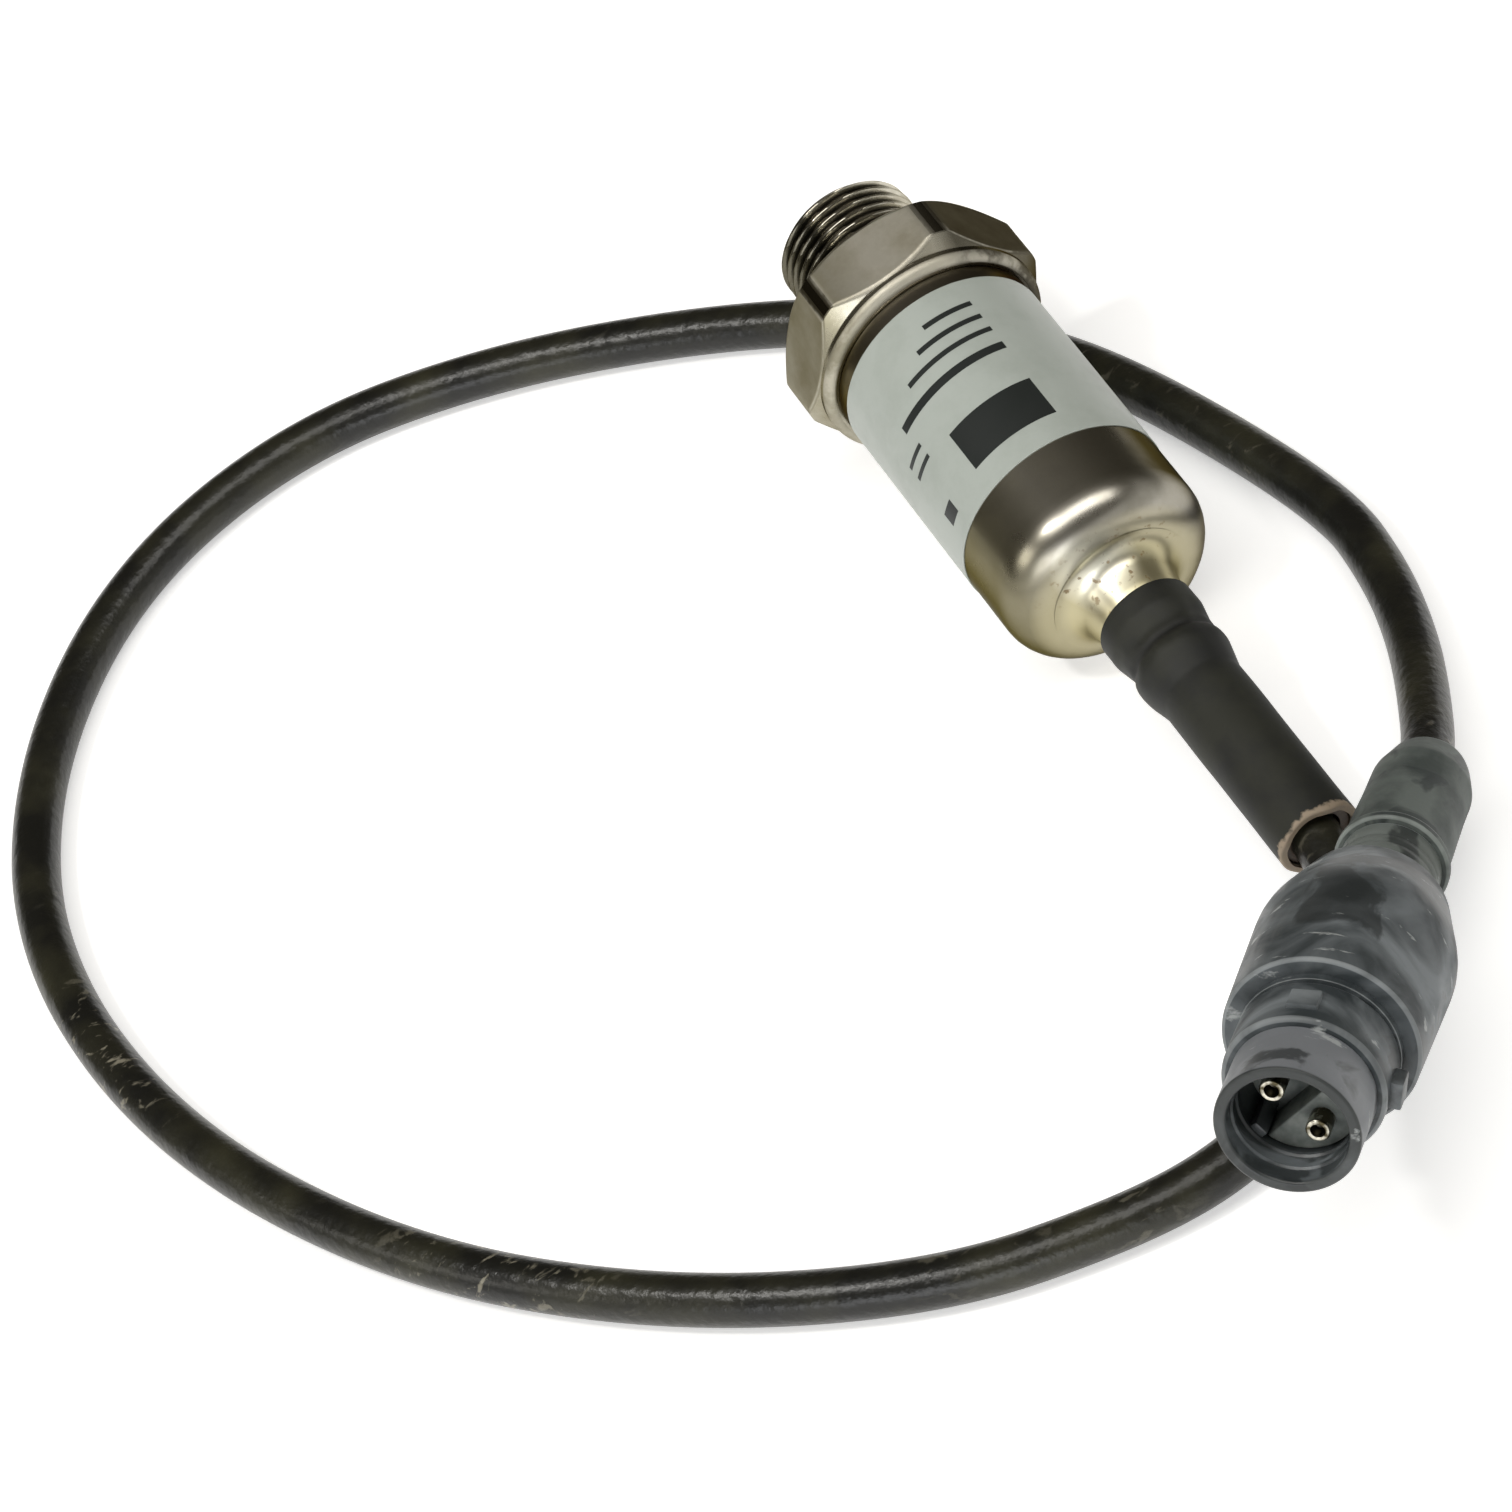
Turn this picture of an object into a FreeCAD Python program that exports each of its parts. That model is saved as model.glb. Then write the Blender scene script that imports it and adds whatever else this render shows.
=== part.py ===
import FreeCAD, Part
import math
import os

# A hydraulic pressure transmitter with a moulded-on cable and a round two-pin connector.
# The transmitter is turned about one axis. Stations run along that axis from the seat of the
# hexagon: positive into the thread, negative towards the cable. It lies as it comes to rest,
# on the shoulder of its can and propped under the hexagon by its own cable.
# Row frame: +X towards the thread, +Z up, origin at the middle of the transmitter on the floor.

# Process connection: turned and milled stainless bar
THREAD_MAJOR = 16.66
THREAD_LENGTH = 12.0
THREAD_END_CHAMFER = 1.0
RELIEF_WIDTH = 1.5
RELIEF_DEPTH = 1.1
PORT_BORE = 5.0
PORT_ENTRY_CHAMFER = 0.8
BAR_DIAMETER = 30.0
HEX_FLATS = 27.0
HEX_LENGTH = 8.0
HEX_ROLL_DEG = -6.5
HEX_SEAT_CHAMFER = 1.2
HEX_CAN_CHAMFER = 1.6
HEX_CHAMFER_SPREAD = 1.15
COLLAR_DIAMETER = 27.2
COLLAR_LENGTH = 1.6
COLLAR_EDGE = 0.35
SPIGOT_LENGTH = 4.8

# Can: deep-drawn stainless tube with a rounded shoulder and a neck
CAN_DIAMETER = 24.4
CAN_WALL = 0.8
CAN_LENGTH = 40.0
CAN_SHOULDER_ROUND = 4.7
NECK_DIAMETER = 9.5
NECK_LENGTH = 10.4
NECK_ROOT_ROUND = 2.0
CAN_RIM_ROUND = 0.3
SPIGOT_CLEARANCE = 0.05

# Label: printed film round the can, its seam at the underside
LABEL_THICKNESS = 0.12
LABEL_LENGTH = 25.8
LABEL_FROM_RIM = 2.1
LABEL_SEAM_DEG = 6.0

# Measuring cell and electronics
CELL_DIAMETER = 14.0
CELL_HEIGHT = 5.0
CELL_POCKET_DEPTH = 4.0
CELL_CLEARANCE = 0.05
CELL_CAVITY_DIAMETER = 7.0
DIAPHRAGM_THICKNESS = 0.6
CARRIER_LENGTH = 5.0
CARRIER_WALL = 2.6
CARRIER_CLEARANCE = 0.2
BOARD_LENGTH = 24.0
BOARD_WIDTH = 16.0
BOARD_THICKNESS = 1.6
BOARD_GROOVE_CLEARANCE = 0.1
BOARD_SEAT = 1.5
CELL_LEAD_DIAMETER = 0.5
CELL_LEAD_LENGTH = 3.5
CELL_LEAD_PITCH = 2.0
CELL_LEAD_COUNT = 4
AMPLIFIER_LENGTH = 6.0
AMPLIFIER_WIDTH = 5.0
AMPLIFIER_HEIGHT = 1.6
AMPLIFIER_STATION = 6.0
OUTPUT_CHIP_LENGTH = 5.0
OUTPUT_CHIP_WIDTH = 4.0
OUTPUT_CHIP_HEIGHT = 1.4
OUTPUT_CHIP_STATION = 13.5
CAPACITOR_LENGTH = 2.0
CAPACITOR_WIDTH = 1.3
CAPACITOR_HEIGHT = 1.1
CAPACITOR_OFFSET = 5.5

# Cable, its cores and the shrink sleeve that seals it to the neck
CABLE_DIAMETER = 5.5
CORE_DIAMETER = 1.1
CORE_PITCH = 1.5
CORE_SOLDER_OVERLAP = 4.0
CORE_LIFT = 0.02
JACKET_INTO_NECK = 4.0
SLEEVE_WALL = 0.8
SLEEVE_ON_NECK = 5.5
SLEEVE_LENGTH = 34.8
SLEEVE_DIAMETER = 9.3
WAIST_DIAMETER = 10.0
WAIST_FROM_START = 3.9
BUMP_DIAMETER = 11.0
BUMP_FROM_START = 9.2
BUMP_END_FROM_START = 11.8
SLEEVE_BLEND = 2.4
SLEEVE_MOUTH_RECESS = 0.6
ROUTE_START_IN_SLEEVE = 7.8

# Connector: rubber boot, moulded barrel, shroud with two recessed pins
BOOT_LENGTH = 18.1
BOOT_DIAMETER = 10.4
BOOT_REAR_DIAMETER = 8.2
BOOT_REAR_ROUND = 2.0
BOOT_SHOULDER = 4.0
BOOT_LIP_DIAMETER = 11.6
BOOT_LIP_LENGTH = 1.2
BOOT_FRONT_DIAMETER = 10.8
BOOT_GRIP = 9.0
BARREL_NECK_DIAMETER = 10.2
BARREL_NECK_LENGTH = 7.8
BARREL_SPIGOT_DIAMETER = 7.4
BARREL_LENGTH = 23.3
BARREL_REAR_DIAMETER = 15.0
BARREL_DIAMETER = 20.0
BARREL_FRONT_DIAMETER = 19.2
BARREL_SHOULDER = 8.0
BARREL_REAR_EDGE = 0.6
BARREL_SHOULDER_ROUND = 10.0
COLLAR_RING_DIAMETER = 15.8
COLLAR_RING_LENGTH = 7.4
COLLAR_GROOVE_WIDTH = 0.7
COLLAR_GROOVE_DEPTH = 0.45
COLLAR_GROOVE_STATION = 0.8
SHROUD_DIAMETER = 14.0
SHROUD_LENGTH = 6.85
SHROUD_WALL = 1.2
SOCKET_DEPTH = 9.5
SHROUD_SPIGOT_DIAMETER = 13.0
SHROUD_SPIGOT_LENGTH = 12.0
MOULD_CLEARANCE = 0.05
LUG_WIDTH = 3.2
LUG_LENGTH = 2.6
LUG_HEIGHT = 1.1
LUG_ROLLS_DEG = (83.0, 344.0)
PIN_DIAMETER = 2.4
PIN_LENGTH = 14.0
PIN_PITCH = 5.8
PIN_PAIR_ROLL_DEG = -52.0
PIN_RECESS = 3.2
PIN_TIP_ROUND = 0.6
CARRIER_INSERT_LENGTH = 6.0
INSERT_STEP_RECESS = 5.4
INSERT_STEP_EDGE = 0.9
KEY_RIB_WIDTH = 1.6
KEY_RIB_HEIGHT = 1.0
KEY_RIB_LENGTH = 5.0
KEY_RIB_ROLL_DEG = 214.0

# Rest position: the can's shoulder lies on the floor and the thread end leans up
LEAN_DEG = 8.0

# Connector pose: the middle of the boot's rear face and the way the mouth points
BOOT_REAR_POINT = (-52.57, -12.5, 8.68)
CONNECTOR_HEADING_DEG = 140.8
CONNECTOR_PITCH_DEG = 19.8

# Route of the free cable between the sleeve and the boot, as it lies on the floor
CABLE_ROUTE = [
    (-65.4, 4.9, 4.3),
    (-73.6, 14.2, 3.5),
    (-77.2, 26.0, 3.0),
    (-76.3, 38.2, 2.8),
    (-70.2, 58.0, 2.76),
    (-52.8, 81.8, 2.76),
    (-28.3, 102.0, 2.76),
    (4.4, 115.8, 2.76),
    (38.0, 118.0, 2.76),
    (64.3, 107.6, 2.76),
    (83.6, 88.0, 2.76),
    (89.6, 63.0, 2.76),
    (82.6, 39.0, 2.76),
    (68.2, 15.2, 2.76),
    (52.2, -2.4, 2.76),
    (38.8, -11.0, 2.76),
    (21.7, -18.4, 2.76),
    (-8.8, -25.6, 2.76),
    (-21.5, -24.4, 2.76),
    (-31.1, -21.9, 3.3),
    (-40.2, -18.4, 5.1),
]
FIRST_BEND_FROM_MOUTH = 4.2
LAST_BEND_FROM_BOOT = 0.8
RUN_SHARE = 0.45

X_AXIS = FreeCAD.Vector(1, 0, 0)
Y_AXIS = FreeCAD.Vector(0, 1, 0)
Z_AXIS = FreeCAD.Vector(0, 0, 1)
ORIGIN = FreeCAD.Vector(0, 0, 0)


def rounded_outline(corners):
    """Closed wire in the plane of station and radius; a third value rounds that corner."""
    count = len(corners)
    edges = []
    last_point = None
    first_point = None
    for index, corner in enumerate(corners):
        here = FreeCAD.Vector(corner[0], corner[1], 0)
        before = FreeCAD.Vector(*corners[index - 1][:2], 0)
        after = FreeCAD.Vector(*corners[(index + 1) % count][:2], 0)
        entry = here
        leave = here
        arc = None
        if len(corner) == 3:
            back = (before - here).normalize()
            ahead = (after - here).normalize()
            half_angle = back.getAngle(ahead) / 2
            reach = corner[2] / math.tan(half_angle)
            entry = here + back * reach
            leave = here + ahead * reach
            bisector = (back + ahead).normalize()
            crown = here + bisector * (corner[2] / math.sin(half_angle) - corner[2])
            arc = Part.Arc(entry, crown, leave).toShape()
        if last_point is not None and last_point.distanceToPoint(entry) > 1e-7:
            edges.append(Part.LineSegment(last_point, entry).toShape())
        if arc:
            edges.append(arc)
        if first_point is None:
            first_point = entry
        last_point = leave
    if last_point.distanceToPoint(first_point) > 1e-7:
        edges.append(Part.LineSegment(last_point, first_point).toShape())
    return Part.Wire(edges)


def turned(corners):
    """Solid of revolution about the axis from (station, radius[, round]) corners."""
    return Part.Face(rounded_outline(corners)).revolve(ORIGIN, X_AXIS, 360)


def rod(start, length, diameter, across=0.0, above=0.0):
    """Round bar along the axis, from the lower of its two end stations."""
    return Part.makeCylinder(diameter / 2, length, FreeCAD.Vector(start, across, above), X_AXIS)


def block(start, length, width, low, height, across=0.0):
    """Box along the axis, centred across it."""
    corner = FreeCAD.Vector(start, across - width / 2, low)
    return Part.makeBox(length, width, height, corner)


# Stations along the transmitter
hex_can_side = -HEX_LENGTH
can_rim = hex_can_side - COLLAR_LENGTH
spigot_end = can_rim - SPIGOT_LENGTH
can_end = can_rim - CAN_LENGTH
neck_end = can_end - NECK_LENGTH
sleeve_start = neck_end + SLEEVE_ON_NECK
sleeve_end = sleeve_start - SLEEVE_LENGTH
label_top = can_rim - LABEL_FROM_RIM
label_bottom = label_top - LABEL_LENGTH
cell_seat = spigot_end + CELL_POCKET_DEPTH
cell_back = cell_seat - CELL_HEIGHT
carrier_end = spigot_end - CARRIER_LENGTH
board_near = carrier_end + BOARD_SEAT
board_far = board_near - BOARD_LENGTH
board_top = BOARD_THICKNESS / 2
jacket_end = neck_end + JACKET_INTO_NECK
core_height = board_top + CORE_DIAMETER / 2 + CORE_LIFT
core_start = board_far + CORE_SOLDER_OVERLAP
route_start = sleeve_end + ROUTE_START_IN_SLEEVE

thread_radius = THREAD_MAJOR / 2
thread_tip_radius = thread_radius - THREAD_END_CHAMFER
can_radius = CAN_DIAMETER / 2
can_bore_radius = can_radius - CAN_WALL
neck_radius = NECK_DIAMETER / 2
neck_bore_radius = neck_radius - CAN_WALL
spigot_radius = can_bore_radius - SPIGOT_CLEARANCE
cable_radius = CABLE_DIAMETER / 2


def make_process_connection():
    bar_radius = BAR_DIAMETER / 2
    relief_radius = thread_radius - RELIEF_DEPTH
    seat_chamfer_radius = bar_radius - HEX_SEAT_CHAMFER * HEX_CHAMFER_SPREAD
    can_chamfer_radius = bar_radius - HEX_CAN_CHAMFER * HEX_CHAMFER_SPREAD
    body = turned([
        (THREAD_LENGTH, 0),
        (THREAD_LENGTH, thread_tip_radius),
        (THREAD_LENGTH - THREAD_END_CHAMFER, thread_radius),
        (RELIEF_WIDTH, thread_radius),
        (RELIEF_WIDTH, relief_radius),
        (0, relief_radius),
        (0, seat_chamfer_radius),
        (-HEX_SEAT_CHAMFER, bar_radius),
        (hex_can_side + HEX_CAN_CHAMFER, bar_radius),
        (hex_can_side, can_chamfer_radius),
        (hex_can_side, COLLAR_DIAMETER / 2),
        (can_rim, COLLAR_DIAMETER / 2, COLLAR_EDGE),
        (can_rim, spigot_radius),
        (spigot_end, spigot_radius),
        (spigot_end, 0),
    ])
    # Six flats milled on the round bar leave a strip of it at each corner
    hex_zone = rod(hex_can_side, HEX_LENGTH, BAR_DIAMETER * 1.2)
    corner_radius = HEX_FLATS / math.sqrt(3)
    rolls = [math.radians(HEX_ROLL_DEG + 60 * side) for side in range(7)]
    corners = [FreeCAD.Vector(hex_can_side, corner_radius * math.cos(roll), corner_radius * math.sin(roll))
               for roll in rolls]
    prism = Part.Face(Part.makePolygon(corners)).extrude(X_AXIS * HEX_LENGTH)
    body = body.cut(hex_zone.cut(prism))
    # Pressure port with its entry chamfer, and the pocket that the cell is welded into
    port = rod(cell_seat, THREAD_LENGTH - cell_seat, PORT_BORE)
    entry = Part.makeCone(PORT_BORE / 2, PORT_BORE / 2 + PORT_ENTRY_CHAMFER, PORT_ENTRY_CHAMFER,
                          FreeCAD.Vector(THREAD_LENGTH - PORT_ENTRY_CHAMFER, 0, 0), X_AXIS)
    pocket = rod(spigot_end, CELL_POCKET_DEPTH, CELL_DIAMETER + 2 * CELL_CLEARANCE)
    return body.cut([port, entry, pocket])


def make_measuring_cell():
    cavity_depth = CELL_HEIGHT - DIAPHRAGM_THICKNESS
    cell = rod(cell_back, CELL_HEIGHT, CELL_DIAMETER)
    return cell.cut(rod(cell_seat - cavity_depth, cavity_depth, CELL_CAVITY_DIAMETER))


def make_board_carrier():
    outer = can_bore_radius - CARRIER_CLEARANCE
    ring = turned([
        (carrier_end, outer - CARRIER_WALL),
        (carrier_end, outer, COLLAR_EDGE),
        (spigot_end, outer),
        (spigot_end, outer - CARRIER_WALL),
    ])
    bridge_width = 2 * (outer - CARRIER_WALL / 2)
    groove_depth = BOARD_SEAT + BOARD_GROOVE_CLEARANCE
    bridge = block(carrier_end, groove_depth + BOARD_SEAT, bridge_width, -BOARD_THICKNESS * 1.5,
                   BOARD_THICKNESS * 3)
    clear_of_cell = rod(cell_back - CARRIER_CLEARANCE, CELL_HEIGHT, CELL_DIAMETER + 2 * CARRIER_CLEARANCE)
    groove = block(carrier_end, groove_depth, BOARD_WIDTH + 2 * BOARD_GROOVE_CLEARANCE,
                   -board_top - BOARD_GROOVE_CLEARANCE, BOARD_THICKNESS + 2 * BOARD_GROOVE_CLEARANCE)
    lead_slot = block(carrier_end, CARRIER_LENGTH, CELL_LEAD_PITCH * CELL_LEAD_COUNT, board_top,
                      BOARD_THICKNESS * 2)
    return ring.fuse(bridge).cut([clear_of_cell, groove, lead_slot]).removeSplitter()


def make_circuit_board():
    return block(board_far, BOARD_LENGTH, BOARD_WIDTH, -board_top, BOARD_THICKNESS)


def make_board_chips():
    amplifier = block(board_near - AMPLIFIER_STATION - AMPLIFIER_LENGTH / 2, AMPLIFIER_LENGTH,
                      AMPLIFIER_WIDTH, board_top, AMPLIFIER_HEIGHT)
    output_chip = block(board_near - OUTPUT_CHIP_STATION - OUTPUT_CHIP_LENGTH / 2, OUTPUT_CHIP_LENGTH,
                        OUTPUT_CHIP_WIDTH, board_top, OUTPUT_CHIP_HEIGHT)
    capacitors = [block(board_near - station - CAPACITOR_LENGTH / 2, CAPACITOR_LENGTH, CAPACITOR_WIDTH,
                        board_top, CAPACITOR_HEIGHT, side * CAPACITOR_OFFSET)
                  for station in (AMPLIFIER_STATION, OUTPUT_CHIP_STATION) for side in (-1, 1)]
    return Part.makeCompound([amplifier, output_chip] + capacitors)


def make_cell_leads():
    span = CELL_LEAD_PITCH * (CELL_LEAD_COUNT - 1)
    height = board_top + CELL_LEAD_DIAMETER / 2 + CORE_LIFT
    return Part.makeCompound([
        rod(cell_back - CELL_LEAD_LENGTH, CELL_LEAD_LENGTH, CELL_LEAD_DIAMETER,
            -span / 2 + index * CELL_LEAD_PITCH, height)
        for index in range(CELL_LEAD_COUNT)])


def make_core(place):
    """One insulated core from its solder pad to the end of the jacket."""
    return rod(jacket_end, core_start - jacket_end, CORE_DIAMETER, place * CORE_PITCH, core_height)


def make_sensor_case():
    bore_end = can_end + CAN_WALL
    return turned([
        (can_rim, can_bore_radius),
        (can_rim, can_radius, CAN_RIM_ROUND),
        (can_end, can_radius, CAN_SHOULDER_ROUND),
        (can_end, neck_radius, NECK_ROOT_ROUND),
        (neck_end, neck_radius, CAN_RIM_ROUND),
        (neck_end, neck_bore_radius),
        (bore_end, neck_bore_radius, NECK_ROOT_ROUND + CAN_WALL),
        (bore_end, can_bore_radius, CAN_SHOULDER_ROUND - CAN_WALL),
    ])


def make_potting_plug():
    plug = rod(neck_end, can_end - neck_end, 2 * neck_bore_radius)
    jacket = rod(neck_end, jacket_end - neck_end, CABLE_DIAMETER)
    return plug.cut([jacket] + [make_core(place) for place in (-1, 0, 1)])


def make_label():
    film = turned([
        (label_bottom, can_radius),
        (label_bottom, can_radius + LABEL_THICKNESS),
        (label_top, can_radius + LABEL_THICKNESS),
        (label_top, can_radius),
    ])
    seam_reach = CAN_DIAMETER
    half_width = seam_reach * math.tan(math.radians(LABEL_SEAM_DEG / 2))
    seam = Part.Face(Part.makePolygon([
        FreeCAD.Vector(label_bottom, 0, 0),
        FreeCAD.Vector(label_bottom, -half_width, -seam_reach),
        FreeCAD.Vector(label_bottom, half_width, -seam_reach),
        FreeCAD.Vector(label_bottom, 0, 0),
    ])).extrude(X_AXIS * LABEL_LENGTH)
    return film.cut(seam)


def sleeve_corners(depth):
    """The sleeve's outer line, or a line that lies the given depth under it, from neck to mouth."""
    waist = sleeve_start - WAIST_FROM_START
    bump = sleeve_start - BUMP_FROM_START
    bump_end = sleeve_start - BUMP_END_FROM_START
    start_radius = neck_radius + SLEEVE_WALL - depth
    return [
        (waist + SLEEVE_BLEND / 2, start_radius, SLEEVE_BLEND),
        (waist - SLEEVE_BLEND / 2, WAIST_DIAMETER / 2 - depth, SLEEVE_BLEND),
        (bump + SLEEVE_BLEND / 2, BUMP_DIAMETER / 2 - depth, SLEEVE_BLEND),
        (bump_end, SLEEVE_DIAMETER / 2 - depth, SLEEVE_BLEND),
    ]


def make_shrink_sleeve():
    bore_at_mouth = SLEEVE_DIAMETER / 2 - SLEEVE_WALL
    outer = [(sleeve_start, neck_radius + SLEEVE_WALL)] + sleeve_corners(0)
    outer.append((sleeve_end, SLEEVE_DIAMETER / 2, SLEEVE_WALL / 3))
    inner = [(sleeve_start, neck_radius)] + inner_sleeve_line()
    inner.append((sleeve_end, bore_at_mouth))
    return turned(outer + inner[::-1])


def inner_sleeve_line():
    """The sleeve's bore: tight on the neck, then a wall's thickness under the outside."""
    corners = sleeve_corners(SLEEVE_WALL)
    return [(neck_end, neck_radius), (neck_end, WAIST_DIAMETER / 2 - SLEEVE_WALL)] + corners[2:]


def make_sleeve_liner():
    mouth = sleeve_end + SLEEVE_MOUTH_RECESS
    outer = inner_sleeve_line()[1:]
    outer.append((mouth, SLEEVE_DIAMETER / 2 - SLEEVE_WALL))
    return turned(outer + [(mouth, cable_radius), (neck_end, cable_radius)])


def make_cable_lead_in():
    return rod(route_start, jacket_end - route_start, CABLE_DIAMETER)


# Rest position of the transmitter
lean = math.radians(LEAN_DEG)
shoulder_centre = can_end + CAN_SHOULDER_ROUND
shoulder_height = (can_radius - CAN_SHOULDER_ROUND) * math.cos(lean) + CAN_SHOULDER_ROUND
seat_height = shoulder_height - shoulder_centre * math.sin(lean)
reach_ahead = THREAD_LENGTH * math.cos(lean) + thread_tip_radius * math.sin(lean)
reach_behind = sleeve_end * math.cos(lean) - SLEEVE_DIAMETER / 2 * math.sin(lean)
seat_point = FreeCAD.Vector(-(reach_ahead + reach_behind) / 2, 0, seat_height)
resting = FreeCAD.Placement(seat_point, FreeCAD.Rotation(Y_AXIS, -LEAN_DEG))

# Stations along the connector, from the boot's rear face to the mouth
boot_front = BOOT_LENGTH
barrel_rear = boot_front + BARREL_NECK_LENGTH
barrel_front = barrel_rear + BARREL_LENGTH
collar_front = barrel_front + COLLAR_RING_LENGTH
mouth_station = collar_front + SHROUD_LENGTH
socket_floor = mouth_station - SOCKET_DEPTH
insert_rear = socket_floor - CARRIER_INSERT_LENGTH
shroud_rear = barrel_front - SHROUD_SPIGOT_LENGTH
spigot_rear = BOOT_GRIP
pin_tip = mouth_station - PIN_RECESS
pin_rear = pin_tip - PIN_LENGTH
socket_radius = SHROUD_DIAMETER / 2 - SHROUD_WALL
plug_core_diameter = CORE_DIAMETER


def pin_place(index):
    """Middle of one pin across the connector."""
    side = 1 if index == 1 else -1
    roll = math.radians(PIN_PAIR_ROLL_DEG)
    reach = side * PIN_PITCH / 2
    return reach * math.cos(roll), reach * math.sin(roll)


connector_turn = FreeCAD.Rotation(Z_AXIS, CONNECTOR_HEADING_DEG) * FreeCAD.Rotation(Y_AXIS, -CONNECTOR_PITCH_DEG)
connector_lie = FreeCAD.Placement(FreeCAD.Vector(*BOOT_REAR_POINT), connector_turn)


def make_cable():
    """Free cable: straight runs and tangent arcs from inside the sleeve into the boot."""
    route = [resting.multVec(FreeCAD.Vector(route_start, 0, 0)),
             resting.multVec(FreeCAD.Vector(sleeve_end - FIRST_BEND_FROM_MOUTH, 0, 0))]
    route += [FreeCAD.Vector(*point) for point in CABLE_ROUTE]
    route += [connector_lie.multVec(FreeCAD.Vector(-LAST_BEND_FROM_BOOT, 0, 0)),
              connector_lie.multVec(FreeCAD.Vector(spigot_rear, 0, 0))]
    edges = []
    leave = route[0]
    radii = []
    for before, here, after in zip(route, route[1:], route[2:]):
        back = before - here
        ahead = after - here
        half_turn = (math.pi - back.getAngle(ahead)) / 2
        reach = RUN_SHARE * min(back.Length, ahead.Length)
        radius = reach / math.tan(half_turn)
        radii.append(radius)
        entry = here + FreeCAD.Vector(back).normalize() * reach
        out = here + FreeCAD.Vector(ahead).normalize() * reach
        bisector = (FreeCAD.Vector(back).normalize() + FreeCAD.Vector(ahead).normalize()).normalize()
        crown = here + bisector * (radius / math.cos(half_turn) - radius)
        edges.append(Part.LineSegment(leave, entry).toShape())
        edges.append(Part.Arc(entry, crown, out).toShape())
        leave = out
    edges.append(Part.LineSegment(leave, route[-1]).toShape())
    path = Part.Wire(edges)
    section = Part.Wire(Part.makeCircle(cable_radius, route[0], route[1] - route[0]))
    tube = path.makePipeShell([section], True, False)
    print("cable length %.1f mm, radii %s" % (path.Length, ", ".join("%.1f" % value for value in radii)))
    print("cable volume over section times length: %.5f" %
          (tube.Volume / (math.pi * cable_radius ** 2 * path.Length)))
    return tube


cable = make_cable()


def make_connector_boot():
    boot = turned([
        (0, 0),
        (0, BOOT_REAR_DIAMETER / 2, BOOT_REAR_ROUND / 2),
        (BOOT_SHOULDER, BOOT_DIAMETER / 2, BOOT_REAR_ROUND),
        (boot_front - BOOT_LIP_LENGTH, BOOT_FRONT_DIAMETER / 2),
        (boot_front - BOOT_LIP_LENGTH, BOOT_LIP_DIAMETER / 2, COLLAR_EDGE),
        (boot_front, BOOT_LIP_DIAMETER / 2, COLLAR_EDGE),
        (boot_front, BARREL_SPIGOT_DIAMETER / 2),
        (spigot_rear, BARREL_SPIGOT_DIAMETER / 2),
        (spigot_rear, 0),
    ])
    # The boot is moulded round the cable, which bends a little as it enters
    inside = cable.copy()
    inside.Placement = connector_lie.inverse().multiply(inside.Placement)
    return boot.cut(inside)


def make_connector_barrel():
    barrel = turned([
        (spigot_rear, cable_radius),
        (spigot_rear, BARREL_SPIGOT_DIAMETER / 2),
        (boot_front, BARREL_SPIGOT_DIAMETER / 2),
        (boot_front, BARREL_NECK_DIAMETER / 2),
        (barrel_rear, BARREL_NECK_DIAMETER / 2, COLLAR_EDGE),
        (barrel_rear, BARREL_REAR_DIAMETER / 2, BARREL_REAR_EDGE),
        (barrel_rear + BARREL_SHOULDER, BARREL_DIAMETER / 2, BARREL_SHOULDER_ROUND),
        (barrel_front, BARREL_FRONT_DIAMETER / 2, COLLAR_EDGE),
        (barrel_front, SHROUD_SPIGOT_DIAMETER / 2 + MOULD_CLEARANCE),
        (shroud_rear, SHROUD_SPIGOT_DIAMETER / 2 + MOULD_CLEARANCE),
        (shroud_rear, cable_radius),
    ])
    return barrel


def make_connector_shroud():
    groove_radius = COLLAR_RING_DIAMETER / 2 - COLLAR_GROOVE_DEPTH
    groove_start = barrel_front + COLLAR_GROOVE_STATION
    shroud = turned([
        (shroud_rear, SHROUD_SPIGOT_DIAMETER / 2),
        (barrel_front, SHROUD_SPIGOT_DIAMETER / 2),
        (barrel_front, COLLAR_RING_DIAMETER / 2),
        (groove_start, COLLAR_RING_DIAMETER / 2),
        (groove_start, groove_radius),
        (groove_start + COLLAR_GROOVE_WIDTH, groove_radius),
        (groove_start + COLLAR_GROOVE_WIDTH, COLLAR_RING_DIAMETER / 2),
        (collar_front, COLLAR_RING_DIAMETER / 2, COLLAR_EDGE * 2),
        (collar_front, SHROUD_DIAMETER / 2),
        (mouth_station, SHROUD_DIAMETER / 2, COLLAR_EDGE),
        (mouth_station, socket_radius, COLLAR_EDGE),
        (insert_rear, socket_radius),
        (insert_rear, 0),
        (shroud_rear, 0),
    ])
    lug_station = (groove_start + COLLAR_GROOVE_WIDTH + collar_front) / 2 - LUG_LENGTH / 2
    lug = block(lug_station, LUG_LENGTH, LUG_WIDTH, 0, COLLAR_RING_DIAMETER / 2 + LUG_HEIGHT)
    lug = lug.cut(rod(lug_station, LUG_LENGTH, SHROUD_SPIGOT_DIAMETER))
    for roll in LUG_ROLLS_DEG:
        placed = lug.copy()
        placed.rotate(ORIGIN, X_AXIS, roll - 90)
        shroud = shroud.fuse(placed)
    rib = block(socket_floor, KEY_RIB_LENGTH, KEY_RIB_WIDTH, socket_radius - KEY_RIB_HEIGHT,
                KEY_RIB_HEIGHT + SHROUD_WALL / 2)
    rib.rotate(ORIGIN, X_AXIS, KEY_RIB_ROLL_DEG - 90)
    shroud = shroud.fuse(rib)
    return shroud.cut([make_plug_core(index) for index in (1, 2)] + [make_contact_pin(index) for index in (1, 2)])


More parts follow.
